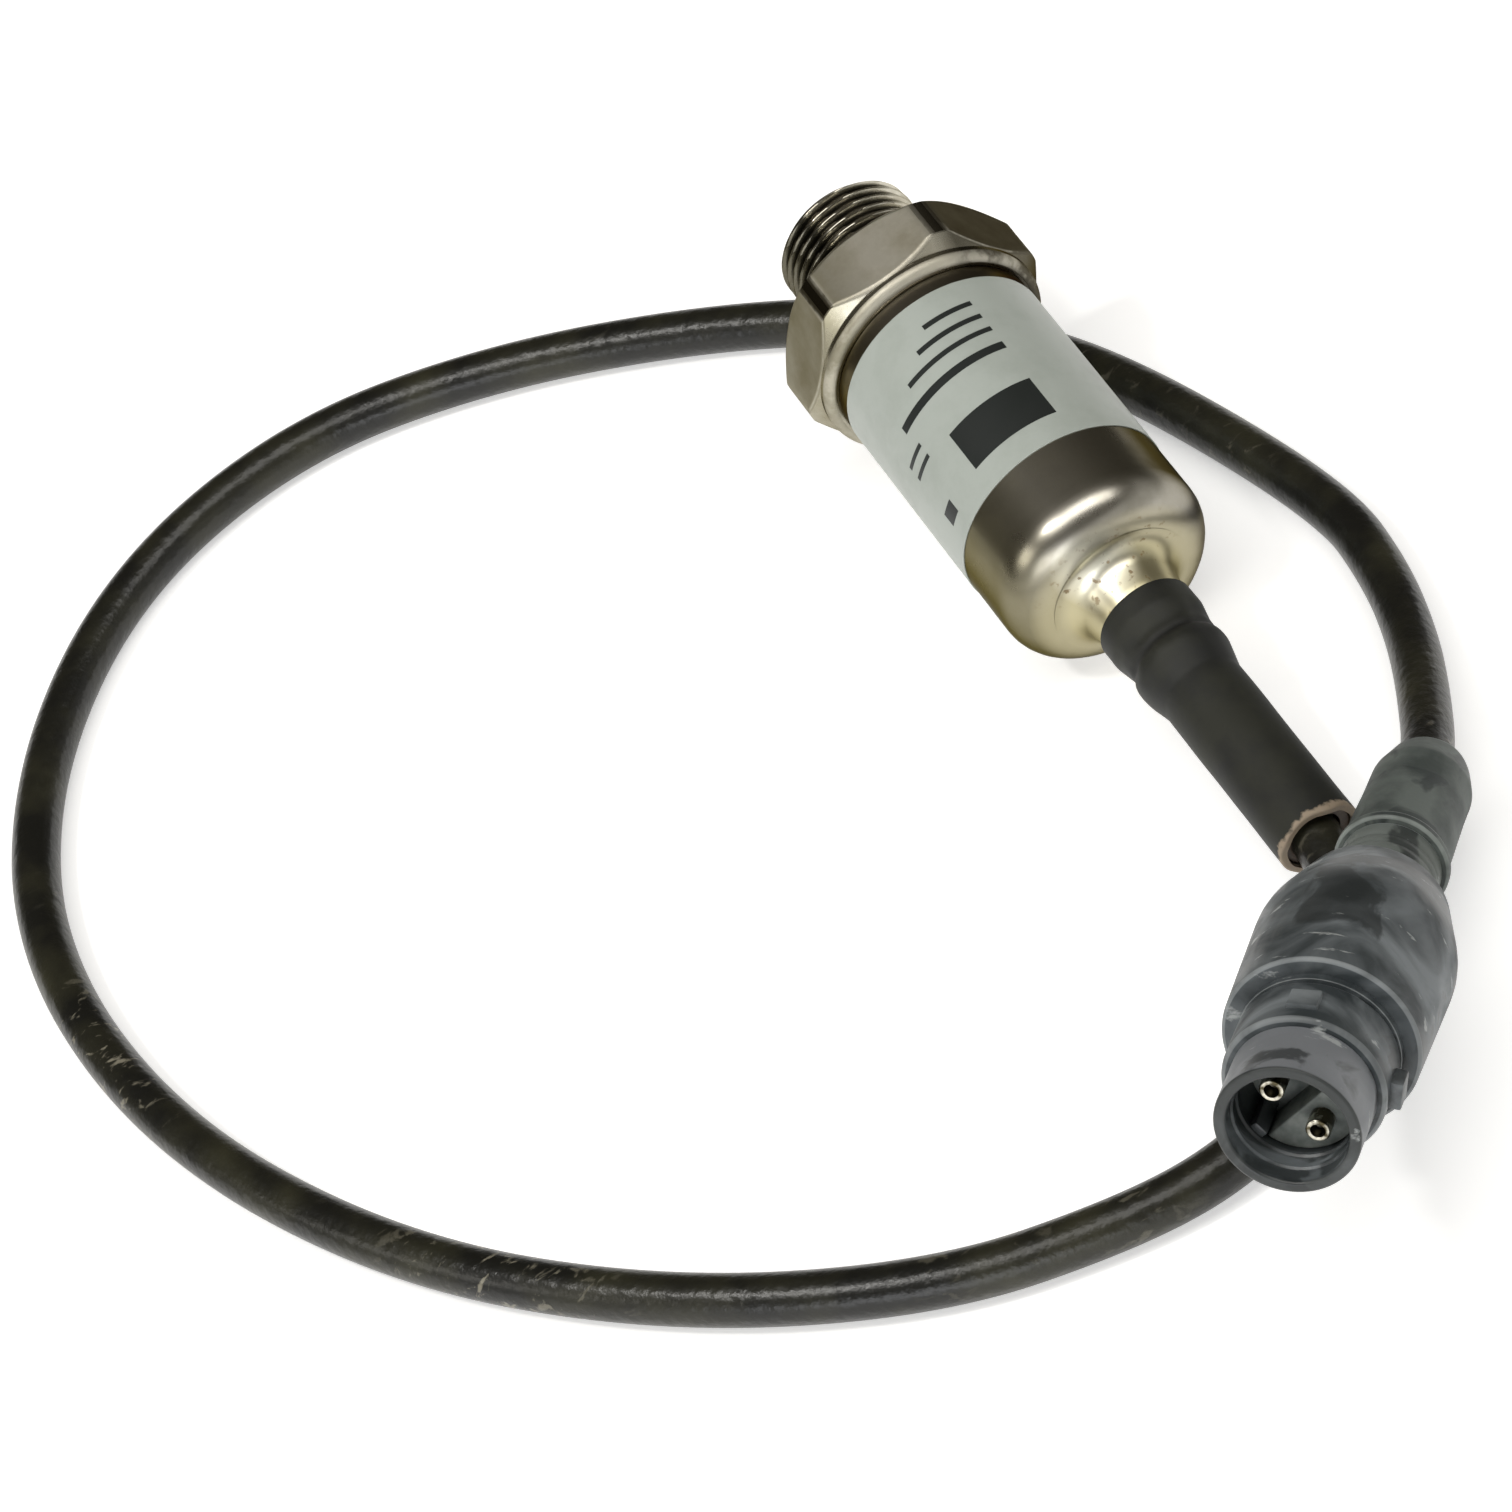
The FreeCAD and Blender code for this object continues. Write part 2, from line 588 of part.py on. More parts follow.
def make_pin_carrier():
    """Insert disc that holds both pins, with a raised half round the first one."""
    diameter = 2 * (socket_radius - MOULD_CLEARANCE)
    insert = rod(insert_rear, CARRIER_INSERT_LENGTH, diameter)
    step_length = SOCKET_DEPTH - INSERT_STEP_RECESS
    half = Part.makeBox(step_length, SHROUD_DIAMETER, SHROUD_DIAMETER,
                        FreeCAD.Vector(socket_floor, INSERT_STEP_EDGE, -SHROUD_DIAMETER / 2))
    half.rotate(ORIGIN, X_AXIS, PIN_PAIR_ROLL_DEG)
    step = rod(socket_floor, step_length, diameter).common(half)
    insert = insert.fuse(step).removeSplitter()
    return insert.cut([make_contact_pin(index) for index in (1, 2)])


def make_contact_pin(index):
    across, above = pin_place(index)
    pin = turned([
        (pin_rear, 0),
        (pin_rear, PIN_DIAMETER / 2),
        (pin_tip, PIN_DIAMETER / 2, PIN_TIP_ROUND),
        (pin_tip, 0),
    ])
    pin.translate(FreeCAD.Vector(0, across, above))
    return pin


def make_plug_core(index):
    """Core from the jacket's end in the spigot, spread to the back of its pin."""
    across, above = pin_place(index)
    share = CORE_PITCH / PIN_PITCH
    start = FreeCAD.Vector(spigot_rear, across * share, above * share)
    bend_in = FreeCAD.Vector(shroud_rear - plug_core_diameter, across * share, above * share)
    bend_out = FreeCAD.Vector(pin_rear - plug_core_diameter, across, above)
    finish = FreeCAD.Vector(pin_rear, across, above)
    pieces = []
    for here, there in ((start, bend_in), (bend_in, bend_out), (bend_out, finish)):
        run = there - here
        pieces.append(Part.makeCylinder(plug_core_diameter / 2, run.Length, here, run))
    knuckles = [Part.makeSphere(plug_core_diameter / 2, point) for point in (bend_in, bend_out)]
    return pieces[0].fuse(pieces[1:] + knuckles).removeSplitter()


transmitter = {
    "process_connection": make_process_connection(),
    "measuring_cell": make_measuring_cell(),
    "cell_leads": make_cell_leads(),
    "board_carrier": make_board_carrier(),
    "circuit_board": make_circuit_board(),
    "board_chips": make_board_chips(),
    "supply_core": make_core(-1),
    "signal_core": make_core(0),
    "screen_core": make_core(1),
    "sensor_case": make_sensor_case(),
    "label": make_label(),
    "potting_plug": make_potting_plug(),
    "shrink_sleeve": make_shrink_sleeve(),
    "sleeve_liner": make_sleeve_liner(),
    "cable_lead_in": make_cable_lead_in(),
}
connector = {
    "connector_boot": make_connector_boot(),
    "connector_barrel": make_connector_barrel(),
    "connector_shroud": make_connector_shroud(),
    "pin_carrier": make_pin_carrier(),
    "contact_pin_1": make_contact_pin(1),
    "contact_pin_2": make_contact_pin(2),
    "plug_core_1": make_plug_core(1),
    "plug_core_2": make_plug_core(2),
}

os.makedirs("parts", exist_ok=True)
for name, solid in transmitter.items():
    solid.Placement = resting.multiply(solid.Placement)
    solid.exportStep("parts/%s.step" % name)
for name, solid in connector.items():
    solid.Placement = connector_lie.multiply(solid.Placement)
    solid.exportStep("parts/%s.step" % name)
cable.exportStep("parts/cable.step")
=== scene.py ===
import math
import bmesh
import bpy
from mathutils import Matrix, Vector, noise


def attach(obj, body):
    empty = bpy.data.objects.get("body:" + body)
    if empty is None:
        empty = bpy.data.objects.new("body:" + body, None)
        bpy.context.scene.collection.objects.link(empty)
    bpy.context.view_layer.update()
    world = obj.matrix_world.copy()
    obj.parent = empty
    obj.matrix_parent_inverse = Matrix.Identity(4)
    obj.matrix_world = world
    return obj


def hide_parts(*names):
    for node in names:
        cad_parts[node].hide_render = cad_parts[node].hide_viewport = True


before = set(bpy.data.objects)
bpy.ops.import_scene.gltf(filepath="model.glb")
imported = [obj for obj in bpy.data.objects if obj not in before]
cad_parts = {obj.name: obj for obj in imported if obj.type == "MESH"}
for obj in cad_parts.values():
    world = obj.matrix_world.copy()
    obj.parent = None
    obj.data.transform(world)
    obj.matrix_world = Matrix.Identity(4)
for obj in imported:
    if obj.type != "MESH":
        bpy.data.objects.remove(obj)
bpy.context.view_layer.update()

scene = bpy.context.scene
scene.view_settings.view_transform = "Standard"

# Camera
# It stands high behind the cable end and looks down along the sensor, a little rolled.
mm = 0.001
camera_data = bpy.data.cameras.new("camera")
camera_data.sensor_width = 36.0
camera_data.lens = 136.459
camera_data.clip_start = 0.02
camera = bpy.data.objects.new("camera", camera_data)
scene.collection.objects.link(camera)
camera_right = Vector((-0.42728, -0.84547, -0.32032))
camera_up = Vector((0.57418, -0.52743, 0.62621))
camera_back = Vector((-0.69839, 0.08364, 0.71082))
camera_spot = Vector((-425.33, 92.18, 440.88)) * mm
camera.matrix_world = Matrix((
    (camera_right.x, camera_up.x, camera_back.x, camera_spot.x),
    (camera_right.y, camera_up.y, camera_back.y, camera_spot.y),
    (camera_right.z, camera_up.z, camera_back.z, camera_spot.z),
    (0, 0, 0, 1),
))
scene.camera = camera


# Studio
# A white card floor under soft lamps, in a room that is pale behind the camera and dark beyond the
# part and above it, which the bare steel mirrors.
def linear(shade):
    """Linear colour from an sRGB hex value."""
    parts = [int(shade[start:start + 2], 16) / 255 for start in (1, 3, 5)]
    lit = [part / 12.92 if part <= 0.04045 else ((part + 0.055) / 1.055) ** 2.4 for part in parts]
    return (*lit, 1.0)


def feed(tree, node, fed):
    """Sets a node's inputs. Each takes a value, or the socket that it comes from."""
    for key, value in fed.items():
        if isinstance(value, bpy.types.NodeSocket):
            tree.links.new(value, node.inputs[key])
        else:
            node.inputs[key].default_value = value


def add(tree, kind, fed=None, **settings):
    """Adds one node and gives its outputs. Settings are its own options, and fed is what it takes in."""
    made = tree.nodes.new(kind)
    for key, value in settings.items():
        setattr(made, key, value)
    feed(tree, made, fed or {})
    return made.outputs


def new_finish(name):
    """Starts a material and gives it with its node tree and its shader."""
    material = bpy.data.materials.new(name)
    material.use_nodes = True
    return material, material.node_tree, material.node_tree.nodes["Principled BSDF"]


room = bpy.data.worlds.new("half_dark_room")
scene.world = room
room.use_nodes = True
tree = room.node_tree
sides = add(tree, "ShaderNodeSeparateXYZ", {"Vector": add(tree, "ShaderNodeTexCoord")["Generated"]})
height = add(tree, "ShaderNodeMapRange",
             {"Value": sides["Z"], "From Min": 0.34, "From Max": 0.52})["Result"]
beyond = add(tree, "ShaderNodeMapRange",
             {"Value": sides["X"], "From Min": -0.25, "From Max": 0.35})["Result"]
dark = add(tree, "ShaderNodeMath", {0: height, 1: beyond}, operation="MAXIMUM")[0]
walls = add(tree, "ShaderNodeMix", {"Factor": dark, "A": linear("#DCDBD6"), "B": linear("#524E45")},
            data_type="RGBA")["Result"]
feed(tree, tree.nodes["Background"], {"Color": walls, "Strength": 0.9})

# White card: matt, and lit a little by itself where it is seen, so that it stays white round the part
floor_size = 6.0
bpy.ops.mesh.primitive_plane_add(size=floor_size)
floor = bpy.context.object
floor.name = "floor"
card, tree, shader = new_finish("white_card")
seen = add(tree, "ShaderNodeLightPath")
direct = 0.0
for ray in ("Is Camera Ray", "Is Glossy Ray", "Is Transmission Ray"):
    direct = add(tree, "ShaderNodeMath", {0: direct, 1: seen[ray]}, operation="MAXIMUM")[0]
card_glow = 0.48
glow = add(tree, "ShaderNodeMath", {0: direct, 1: card_glow}, operation="MULTIPLY")[0]
feed(tree, shader, {
    "Base Color": linear("#F5F5F5"),
    "Roughness": 0.9,
    "Emission Color": linear("#FFFFFF"),
    "Emission Strength": glow,
})
floor.data.materials.append(card)


def softbox(name, spot, aim, wide, tall, watts, shade):
    """One soft lamp, turned towards a point."""
    lamp = bpy.data.lights.new(name, "AREA")
    lamp.shape = "RECTANGLE"
    lamp.size = wide
    lamp.size_y = tall
    lamp.energy = watts
    lamp.color = linear(shade)[:3]
    holder = bpy.data.objects.new(name, lamp)
    holder.location = spot
    holder.rotation_euler = (Vector(aim) - Vector(spot)).to_track_quat("-Z", "Y").to_euler()
    scene.collection.objects.link(holder)


softbox("lamp_overhead", (-0.22, -0.10, 0.95), (0, -0.12, 0), 1.30, 0.42, 6.1, "#FFFDF9")
softbox("lamp_small_overhead", (-0.02, 0.45, 0.85), (-0.03, 0.05, 0), 0.10, 0.10, 1.9, "#FFFDF9")
softbox("lamp_left_side", (0.02, 0.95, 0.50), (0, 0.02, 0), 0.50, 0.30, 1.3, "#FFFCF5")
softbox("lamp_near_side", (-0.80, 0.62, 0.26), (-0.04, 0, 0), 0.70, 0.36, 2.5, "#F8FAFF")

# Cable
# A black polyurethane jacket over screened cores, extruded, 5.5 mm thick. It leaves the shrink
# sleeve, lies in one loop on the floor under the thread end and comes back to the plug.
cable_diameter = 5.5 * mm
cable_route = [
    (-0.04262, 0.0, 0.00703), (-0.0545, 0.0, 0.00536), (-0.0654, 0.0049, 0.0043),
    (-0.0736, 0.0142, 0.0035), (-0.0772, 0.026, 0.003), (-0.0763, 0.0382, 0.0028),
    (-0.0702, 0.058, 0.00276), (-0.0528, 0.0818, 0.00276), (-0.0283, 0.102, 0.00276),
    (0.0044, 0.1158, 0.00276), (0.038, 0.118, 0.00276), (0.0643, 0.1076, 0.00276),
    (0.0836, 0.088, 0.00276), (0.0896, 0.063, 0.00276), (0.0826, 0.039, 0.00276),
    (0.0682, 0.0152, 0.00276), (0.0522, -0.0024, 0.00276), (0.0388, -0.011, 0.00276),
    (0.0217, -0.0184, 0.00276), (-0.0088, -0.0256, 0.00276), (-0.0215, -0.0244, 0.00276),
    (-0.0311, -0.0219, 0.0033), (-0.0402, -0.0184, 0.0051), (-0.05199, -0.01298, 0.00841),
    (-0.05913, -0.00715, 0.01173),
]
cable_curve = bpy.data.curves.new("cable_line", "CURVE")
cable_curve.dimensions = "3D"
cable_curve.resolution_u = 16
cable_curve.bevel_depth = cable_diameter / 2
cable_curve.bevel_resolution = 10
cable_curve.use_fill_caps = True
line = cable_curve.splines.new("NURBS")
line.points.add(len(cable_route) - 1)
for point, spot in zip(line.points, cable_route):
    point.co = (*spot, 1.0)
line.order_u = 3
line.use_endpoint_u = True
cable = bpy.data.objects.new("cable_jacket", cable_curve)
scene.collection.objects.link(cable)

# Extruded polyurethane: near black with an olive cast, a soft sheen broken by a leathery grain, and
# pale nicks where it was dragged, most of them at two places on the near side of the loop
jacket, tree, shader = new_finish("extruded_polyurethane")
place = add(tree, "ShaderNodeTexCoord")["Object"]
dust_size = 9 * mm
dust = add(tree, "ShaderNodeTexNoise", {"Vector": place, "Scale": 1 / dust_size, "Detail": 5.0})["Fac"]
dusty = add(tree, "ShaderNodeMapRange", {"Value": dust, "From Min": 0.42, "From Max": 0.72})["Result"]
scuff_size = 2.4 * mm
dragged = add(tree, "ShaderNodeMapping",
              {"Vector": place, "Scale": (1.6, 0.6, 1.4), "Rotation": (0, 0, 0.5)})["Vector"]
scuff = add(tree, "ShaderNodeTexNoise", {
    "Vector": dragged, "Scale": 1 / scuff_size, "Detail": 6.0, "Roughness": 0.6, "Distortion": 0.6,
})["Fac"]
nicks = add(tree, "ShaderNodeMapRange",
            {"Value": scuff, "From Min": 0.57, "From Max": 0.64, "To Max": 0.8})["Result"]
patch_size = 26 * mm
patch = add(tree, "ShaderNodeTexNoise", {"Vector": place, "Scale": 1 / patch_size, "Detail": 2.0})["Fac"]
patches = add(tree, "ShaderNodeMapRange",
              {"Value": patch, "From Min": 0.5, "From Max": 0.65, "To Max": 0.35})["Result"]
for dragged_place in ((16, 116, 4), (-37, 91, 5)):
    away = add(tree, "ShaderNodeVectorMath", {0: place, 1: Vector(dragged_place) * mm},
               operation="DISTANCE")["Value"]
    close = add(tree, "ShaderNodeMapRange",
                {"Value": away, "From Min": 16 * mm, "From Max": 4 * mm})["Result"]
    patches = add(tree, "ShaderNodeMath", {0: patches, 1: close}, operation="MAXIMUM")[0]
scuffed = add(tree, "ShaderNodeMath", {0: nicks, 1: patches}, operation="MULTIPLY")[0]
# Each colour lies over those before it, by its share
colour = linear("#151512")
for share, shade in ((dusty, "#302F22"), (scuffed, "#8F8A7A")):
    colour = add(tree, "ShaderNodeMix", {"Factor": share, "A": colour, "B": linear(shade)},
                 data_type="RGBA")["Result"]
dull = add(tree, "ShaderNodeMapRange", {"Value": dust, "To Min": 0.26, "To Max": 0.38})["Result"]
# The extruded grain is finer than this and wouldn't show
grain_size = 1.1 * mm
leather = add(tree, "ShaderNodeTexNoise", {"Vector": place, "Scale": 1 / grain_size, "Detail": 3.0})["Fac"]
grain = add(tree, "ShaderNodeBump", {"Height": leather, "Strength": 0.45, "Distance": 0.25 * mm})["Normal"]
feed(tree, shader, {"Base Color": colour, "Roughness": dull, "Specular IOR Level": 0.45, "Normal": grain})
cable_curve.materials.append(jacket)
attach(cable, "root")
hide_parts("cable")

# Process connection
# One piece of stainless bar: turned thread, undercut and collar, six milled flats, drilled port.
# The thread is G 3/8, cut right-handed at 1.337 mm pitch.
sensor_lie = Matrix.Translation(Vector((38.09, 0, 18.376)) * mm) @ Matrix.Rotation(math.radians(-8), 4, "Y")
thread_radius = 8.33
thread_pitch = 1.337
thread_depth = 0.82
thread_length = 12.0
undercut_radius = 7.23
undercut_length = 1.5
port_radius = 2.5
flat_reach = 13.5
bar_radius = 15.0
hexagon_length = 8.0
hexagon_roll = -6.5
collar_radius = 13.6
can_rim = -9.6
rubbed_round = 1.5
bits_per_radian = 6
fewest_bits = 3
sharp_angle = math.radians(42)


def rounded_line(corners, step=0.8):
    """Line through (station, radius[, round[, wear]]) corners, as (station, radius, wear) points."""
    points = []
    for index, corner in enumerate(corners):
        here = Vector(corner[:2])
        if len(corner) == 2 or index in (0, len(corners) - 1):
            points.append((here.x, here.y, 0.0))
            continue
        back = (Vector(corners[index - 1][:2]) - here).normalized()
        ahead = (Vector(corners[index + 1][:2]) - here).normalized()
        half = math.acos(max(-1.0, min(1.0, back.dot(ahead)))) / 2
        reach = corner[2] / math.tan(half)
        middle = here + (back + ahead).normalized() * (corner[2] / math.sin(half))
        first = here + back * reach - middle
        last = here + ahead * reach - middle
        sweep = math.pi - 2 * half
        side = 1 if first.x * last.y - first.y * last.x > 0 else -1
        outer_edge = middle.y < here.y and corner[2] < rubbed_round
        worn = corner[3] if len(corner) > 3 else float(outer_edge)
        bits = max(fewest_bits, int(sweep * bits_per_radian))
        for bit in range(bits + 1):
            point = middle + Matrix.Rotation(side * sweep * bit / bits, 2) @ first
            points.append((point.x, point.y, worn if 0 < bit < bits else 0.0))
    filled = points[:1]
    for here, there in zip(points, points[1:]):
        along = there[0] - here[0]
        out = there[1] - here[1]
        pieces = max(1, int(math.hypot(along, out) / step))
        for piece in range(1, pieces):
            share = piece / pieces
            filled.append((here[0] + along * share, here[1] + out * share, 0.0))
        filled.append(there)
    return filled


def smooth(mesh):
    """Smooth shading, with sharp edges where faces meet at a steep angle."""
    mesh.shade_smooth()
    mesh.set_sharp_from_angle(angle=sharp_angle)


def turned(name, points, lie, shape=None, around=192, arc=(0, 360), ring=True):
    """Mesh turned about the axis from (station, radius, wear) points, with that wear kept on it."""
    shell = bmesh.new()
    wear = shell.verts.layers.float.new("wear")
    columns = around if arc[1] - arc[0] == 360 else around + 1
    rows = []
    for station, radius, worn in points:
        row = []
        for column in range(columns):
            angle = math.radians(arc[0] + (arc[1] - arc[0]) * column / around)
            spot = shape(station, radius, angle, worn) if shape else (station, radius, worn)
            across = spot[1] * math.cos(angle) * mm
            up = spot[1] * math.sin(angle) * mm
            vert = shell.verts.new((spot[0] * mm, across, up))
            vert[wear] = spot[2]
            row.append(vert)
        rows.append(row)
    pairs = list(zip(rows, rows[1:]))
    if ring:
        pairs.append((rows[-1], rows[0]))
    for here, there in pairs:
        for column in range(around):
            after = (column + 1) % columns
            shell.faces.new((here[column], here[after], there[after], there[column]))
    if not ring:
        for row, end in ((rows[0], points[0]), (rows[-1], points[-1])):
            ends_on_axis = end[1] < 0.1
            if ends_on_axis:
                shell.faces.new(row)
    bmesh.ops.recalc_face_normals(shell, faces=shell.faces)
    mesh = bpy.data.meshes.new(name)
    shell.to_mesh(mesh)
    shell.free()
    smooth(mesh)
    piece = bpy.data.objects.new(name, mesh)
    piece.matrix_world = lie
    scene.collection.objects.link(piece)
    return piece


def soft_min(one, other, ease):
    """The smaller of two lengths, rounded over where they meet."""
    share = max(0.0, ease - abs(one - other)) / ease
    return min(one, other) - share * share * ease / 4


root_share = 0.12
flank_share = 0.76
crest_round = 0.12
crest_wear = 0.85
plain_wear = 0.3


def thread_form(station, radius, angle, worn):
    """Rounded 55 degree thread on the plain cylinder, run out at the chamfered end and the undercut."""
    if radius < undercut_radius + 0.05 or station < undercut_length:
        return station, radius, plain_wear
    turn = (station / thread_pitch - angle / (2 * math.pi)) % 1.0
    slope = min(1.0, max(0.0, (abs(2 * turn - 1) - root_share) / flank_share))
    crest = slope * slope * (3 - 2 * slope)
    cut = thread_radius - thread_depth * (1 - crest)
    return station, soft_min(radius, cut, crest_round), crest_wear * crest * crest


turned_wear = 0.5
milled_wear = 0.6
edge_width = 0.3
edge_round = 0.35
slack = 0.001


def hexagon_form(station, radius, angle, worn):
    """Six flats milled on the bar, their edges rounded by use. Their own wear marks them as milled."""
    past_hexagon = station > slack or station < -hexagon_length - slack
    if past_hexagon or radius < collar_radius - 0.2:
        return station, radius, turned_wear + (1 - turned_wear) * worn
    from_flat = ((math.degrees(angle) - hexagon_roll) % 60) - 30
    flat = flat_reach / math.cos(math.radians(from_flat))
    near_edge = max(0.0, 1 - abs(radius - flat) / edge_width)
    plain = milled_wear if radius > flat else turned_wear
    edge_wear = turned_wear + (1 - turned_wear) * near_edge
    return station, soft_min(radius, flat, edge_round), max(plain, edge_wear)


thread_line = rounded_line([
    (-4.0, port_radius), (thread_length - 0.8, port_radius), (thread_length, 3.3, 0.1),
    (thread_length, 7.33), (thread_length - 1.0, thread_radius), (undercut_length, thread_radius),
    (undercut_length, undercut_radius), (0.0, undercut_radius),
], step=0.11)
hexagon_line = rounded_line([
    (0.0, undercut_radius), (0.0, 13.62), (-1.2, bar_radius), (-hexagon_length + 1.6, bar_radius),
    (-hexagon_length, 13.16), (-hexagon_length, collar_radius), (can_rim, collar_radius, 1.1),
    (can_rim, 11.9),
], step=0.12)
connection = turned("process_connection_skin", thread_line, sensor_lie, thread_form, around=200, ring=False)
hexagon = turned("hexagon_skin", hexagon_line, sensor_lie, hexagon_form, around=480, ring=False)

# Turned and milled stainless steel: a dull grey mirror with tool marks and a mottled olive film,
# painted shade on the hexagon's far side, a painted dull olive reflection on the left side, painted dark
# reflections on two of the hexagon's corner strips, painted shade on the left of the thread, black dirt in
# the thread's roots, and bright where crests and edges are rubbed
turned_steel, tree, shader = new_finish("turned_stainless_steel")
place = add(tree, "ShaderNodeTexCoord")["Object"]
axes = add(tree, "ShaderNodeSeparateXYZ", {"Vector": place})
wear_and_highlight = add(tree, "ShaderNodeAttribute", attribute_name="wear")["Fac"]
film_size = 5 * mm
film = add(tree, "ShaderNodeTexNoise",
           {"Vector": place, "Scale": 1 / film_size, "Detail": 6.0, "Roughness": 0.6})["Fac"]
filmed = add(tree, "ShaderNodeMapRange",
             {"Value": film, "From Min": 0.38, "From Max": 0.7, "To Max": 0.7})["Result"]
on_hexagon = add(tree, "ShaderNodeMapRange",
                 {"Value": axes["X"], "From Min": 0.0, "From Max": -0.3 * mm})["Result"]
# Painted shade on the hexagon's far (-Y) side, standing in for the dark surroundings it would mirror
far_side = add(tree, "ShaderNodeMapRange",
               {"Value": axes["Y"], "From Min": -4.5 * mm, "From Max": -7 * mm, "To Max": 0.82})["Result"]
painted_far_shade = add(tree, "ShaderNodeMath", {0: far_side, 1: on_hexagon}, operation="MULTIPLY")[0]
# Painted dull olive reflection on the left (+Y) side, stronger higher up
left_side = add(tree, "ShaderNodeMapRange",
                {"Value": axes["Y"], "From Min": 2 * mm, "From Max": 9 * mm, "To Max": 0.62})["Result"]
high_up = add(tree, "ShaderNodeMapRange",
              {"Value": axes["Z"], "From Min": -6 * mm, "From Max": 6 * mm, "To Min": 0.3})["Result"]
left_reflection = add(tree, "ShaderNodeMath", {0: left_side, 1: high_up}, operation="MULTIPLY")[0]
layers = [(filmed, "#968F7A"), (painted_far_shade, "#332E21"), (left_reflection, "#6E684C")]
# Painted dark reflections on two of the hexagon's corner strips, one darker than the other
turn = add(tree, "ShaderNodeMath", {0: axes["Z"], 1: axes["Y"]}, operation="ARCTAN2")[0]
along = add(tree, "ShaderNodeMath", {0: axes["X"], 1: -3.4 * mm, 2: 3.1 * mm}, operation="COMPARE")[0]
for strip_turn, strip_darkness in ((hexagon_roll + 60, 0.85), (hexagon_roll + 120, 0.5)):
    across = add(tree, "ShaderNodeMath", {0: turn, 1: math.radians(strip_turn), 2: math.radians(4.1)},
                 operation="COMPARE")[0]
    strip = add(tree, "ShaderNodeMath", {0: along, 1: across}, operation="MULTIPLY")[0]
    strip_shade = add(tree, "ShaderNodeMath", {0: strip, 1: strip_darkness}, operation="MULTIPLY")[0]
    layers.append((strip_shade, "#2A2418"))
# Painted shade on the left (+Y) side of the thread
in_thread = add(tree, "ShaderNodeMapRange",
                {"Value": axes["X"], "From Min": 0.5 * mm, "From Max": 1.5 * mm, "To Max": 0.7})["Result"]
near_side = add(tree, "ShaderNodeMapRange",
                {"Value": axes["Y"], "From Min": 2.2 * mm, "From Max": 4.0 * mm})["Result"]
thread_shade = add(tree, "ShaderNodeMath", {0: in_thread, 1: near_side}, operation="MULTIPLY")[0]
hollow = add(tree, "ShaderNodeMapRange",
             {"Value": wear_and_highlight, "From Min": 0.06, "From Max": 0.3, "To Min": 0.88, "To Max": 0.0})["Result"]
edges = add(tree, "ShaderNodeMapRange",
            {"Value": wear_and_highlight, "From Min": 0.7, "From Max": 1.0, "To Max": 0.6})["Result"]
broken = add(tree, "ShaderNodeMapRange", {"Value": film, "From Min": 0.46, "From Max": 0.6})["Result"]
bright = add(tree, "ShaderNodeMath", {0: edges, 1: broken}, operation="MULTIPLY")[0]
layers += [(thread_shade, "#2E2B20"), (hollow, "#27241B"), (bright, "#D6D2C4")]
colour = linear("#CAC6B9")
for share, shade in layers:
    colour = add(tree, "ShaderNodeMix", {"Factor": share, "A": colour, "B": linear(shade)},
                 data_type="RGBA")["Result"]
sheen = add(tree, "ShaderNodeMapRange",
            {"Value": film, "From Min": 0.3, "From Max": 0.7, "To Min": 0.2, "To Max": 0.3})["Result"]
flats = add(tree, "ShaderNodeMapRange",
            {"Value": wear_and_highlight, "From Min": 0.51, "From Max": 0.58, "To Max": 0.3})["Result"]
milled = add(tree, "ShaderNodeMath", {0: flats, 1: on_hexagon}, operation="MULTIPLY")[0]
dull = add(tree, "ShaderNodeMath", {0: sheen, 1: milled}, operation="ADD")[0]
# Real tool marks are finer than this and wouldn't show
tool_mark = 0.3 * mm
marks = add(tree, "ShaderNodeTexNoise", {"W": axes["X"], "Scale": 1 / tool_mark, "Detail": 3.0},
            noise_dimensions="1D")["Fac"]
ridges = add(tree, "ShaderNodeBump", {"Height": marks, "Strength": 0.12, "Distance": 0.05 * mm})["Normal"]
feed(tree, shader, {
    "Base Color": colour,
    "Metallic": 1.0,
    "Specular Tint": linear("#8C887C"),
    "Roughness": dull,
    "Normal": ridges,
})
for piece in (connection, hexagon):
    piece.data.materials.append(turned_steel)
    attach(piece, "root")
    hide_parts("process_connection")

# Can
# Deep-drawn stainless tube with a rounded shoulder and a neck, pressed over the connection's spigot
# and welded at the rim.
can_radius = 12.2
can_bore = 11.4
can_end = -49.6
can_end_inside = -48.8
shoulder_round = 4.7
neck_radius = 4.75
neck_bore = 3.95
neck_end = -60.0
can_line = rounded_line([
    (can_rim, can_bore), (can_rim, can_radius, 0.3), (can_end, can_radius, shoulder_round),
    (can_end, 6.0, 2.6), (-54.6, 5.05), (-55.2, neck_radius), (neck_end, neck_radius, 0.3),
    (neck_end, neck_bore), (can_end_inside, neck_bore), (can_end_inside, 7.5),
    (can_end + shoulder_round, can_bore),
])
can = turned("can_skin", can_line, sensor_lie, around=224)

# Deep-drawn stainless steel: a soft mirror with faint lengthwise draw lines and a mottled olive film,
# painted shade on the far side, a painted dull olive reflection on the left side, a darker brown ring at
# the rim, a matt cream at the neck with one painted highlight, and rust specks in the hollow above the
# sleeve
drawn_steel, tree, shader = new_finish("drawn_stainless_steel")
place = add(tree, "ShaderNodeTexCoord")["Object"]
axes = add(tree, "ShaderNodeSeparateXYZ", {"Vector": place})
film_size = 7 * mm
film = add(tree, "ShaderNodeTexNoise",
           {"Vector": place, "Scale": 1 / film_size, "Detail": 6.0, "Roughness": 0.6})["Fac"]
filmed = add(tree, "ShaderNodeMapRange",
             {"Value": film, "From Min": 0.4, "From Max": 0.7, "To Max": 0.6})["Result"]
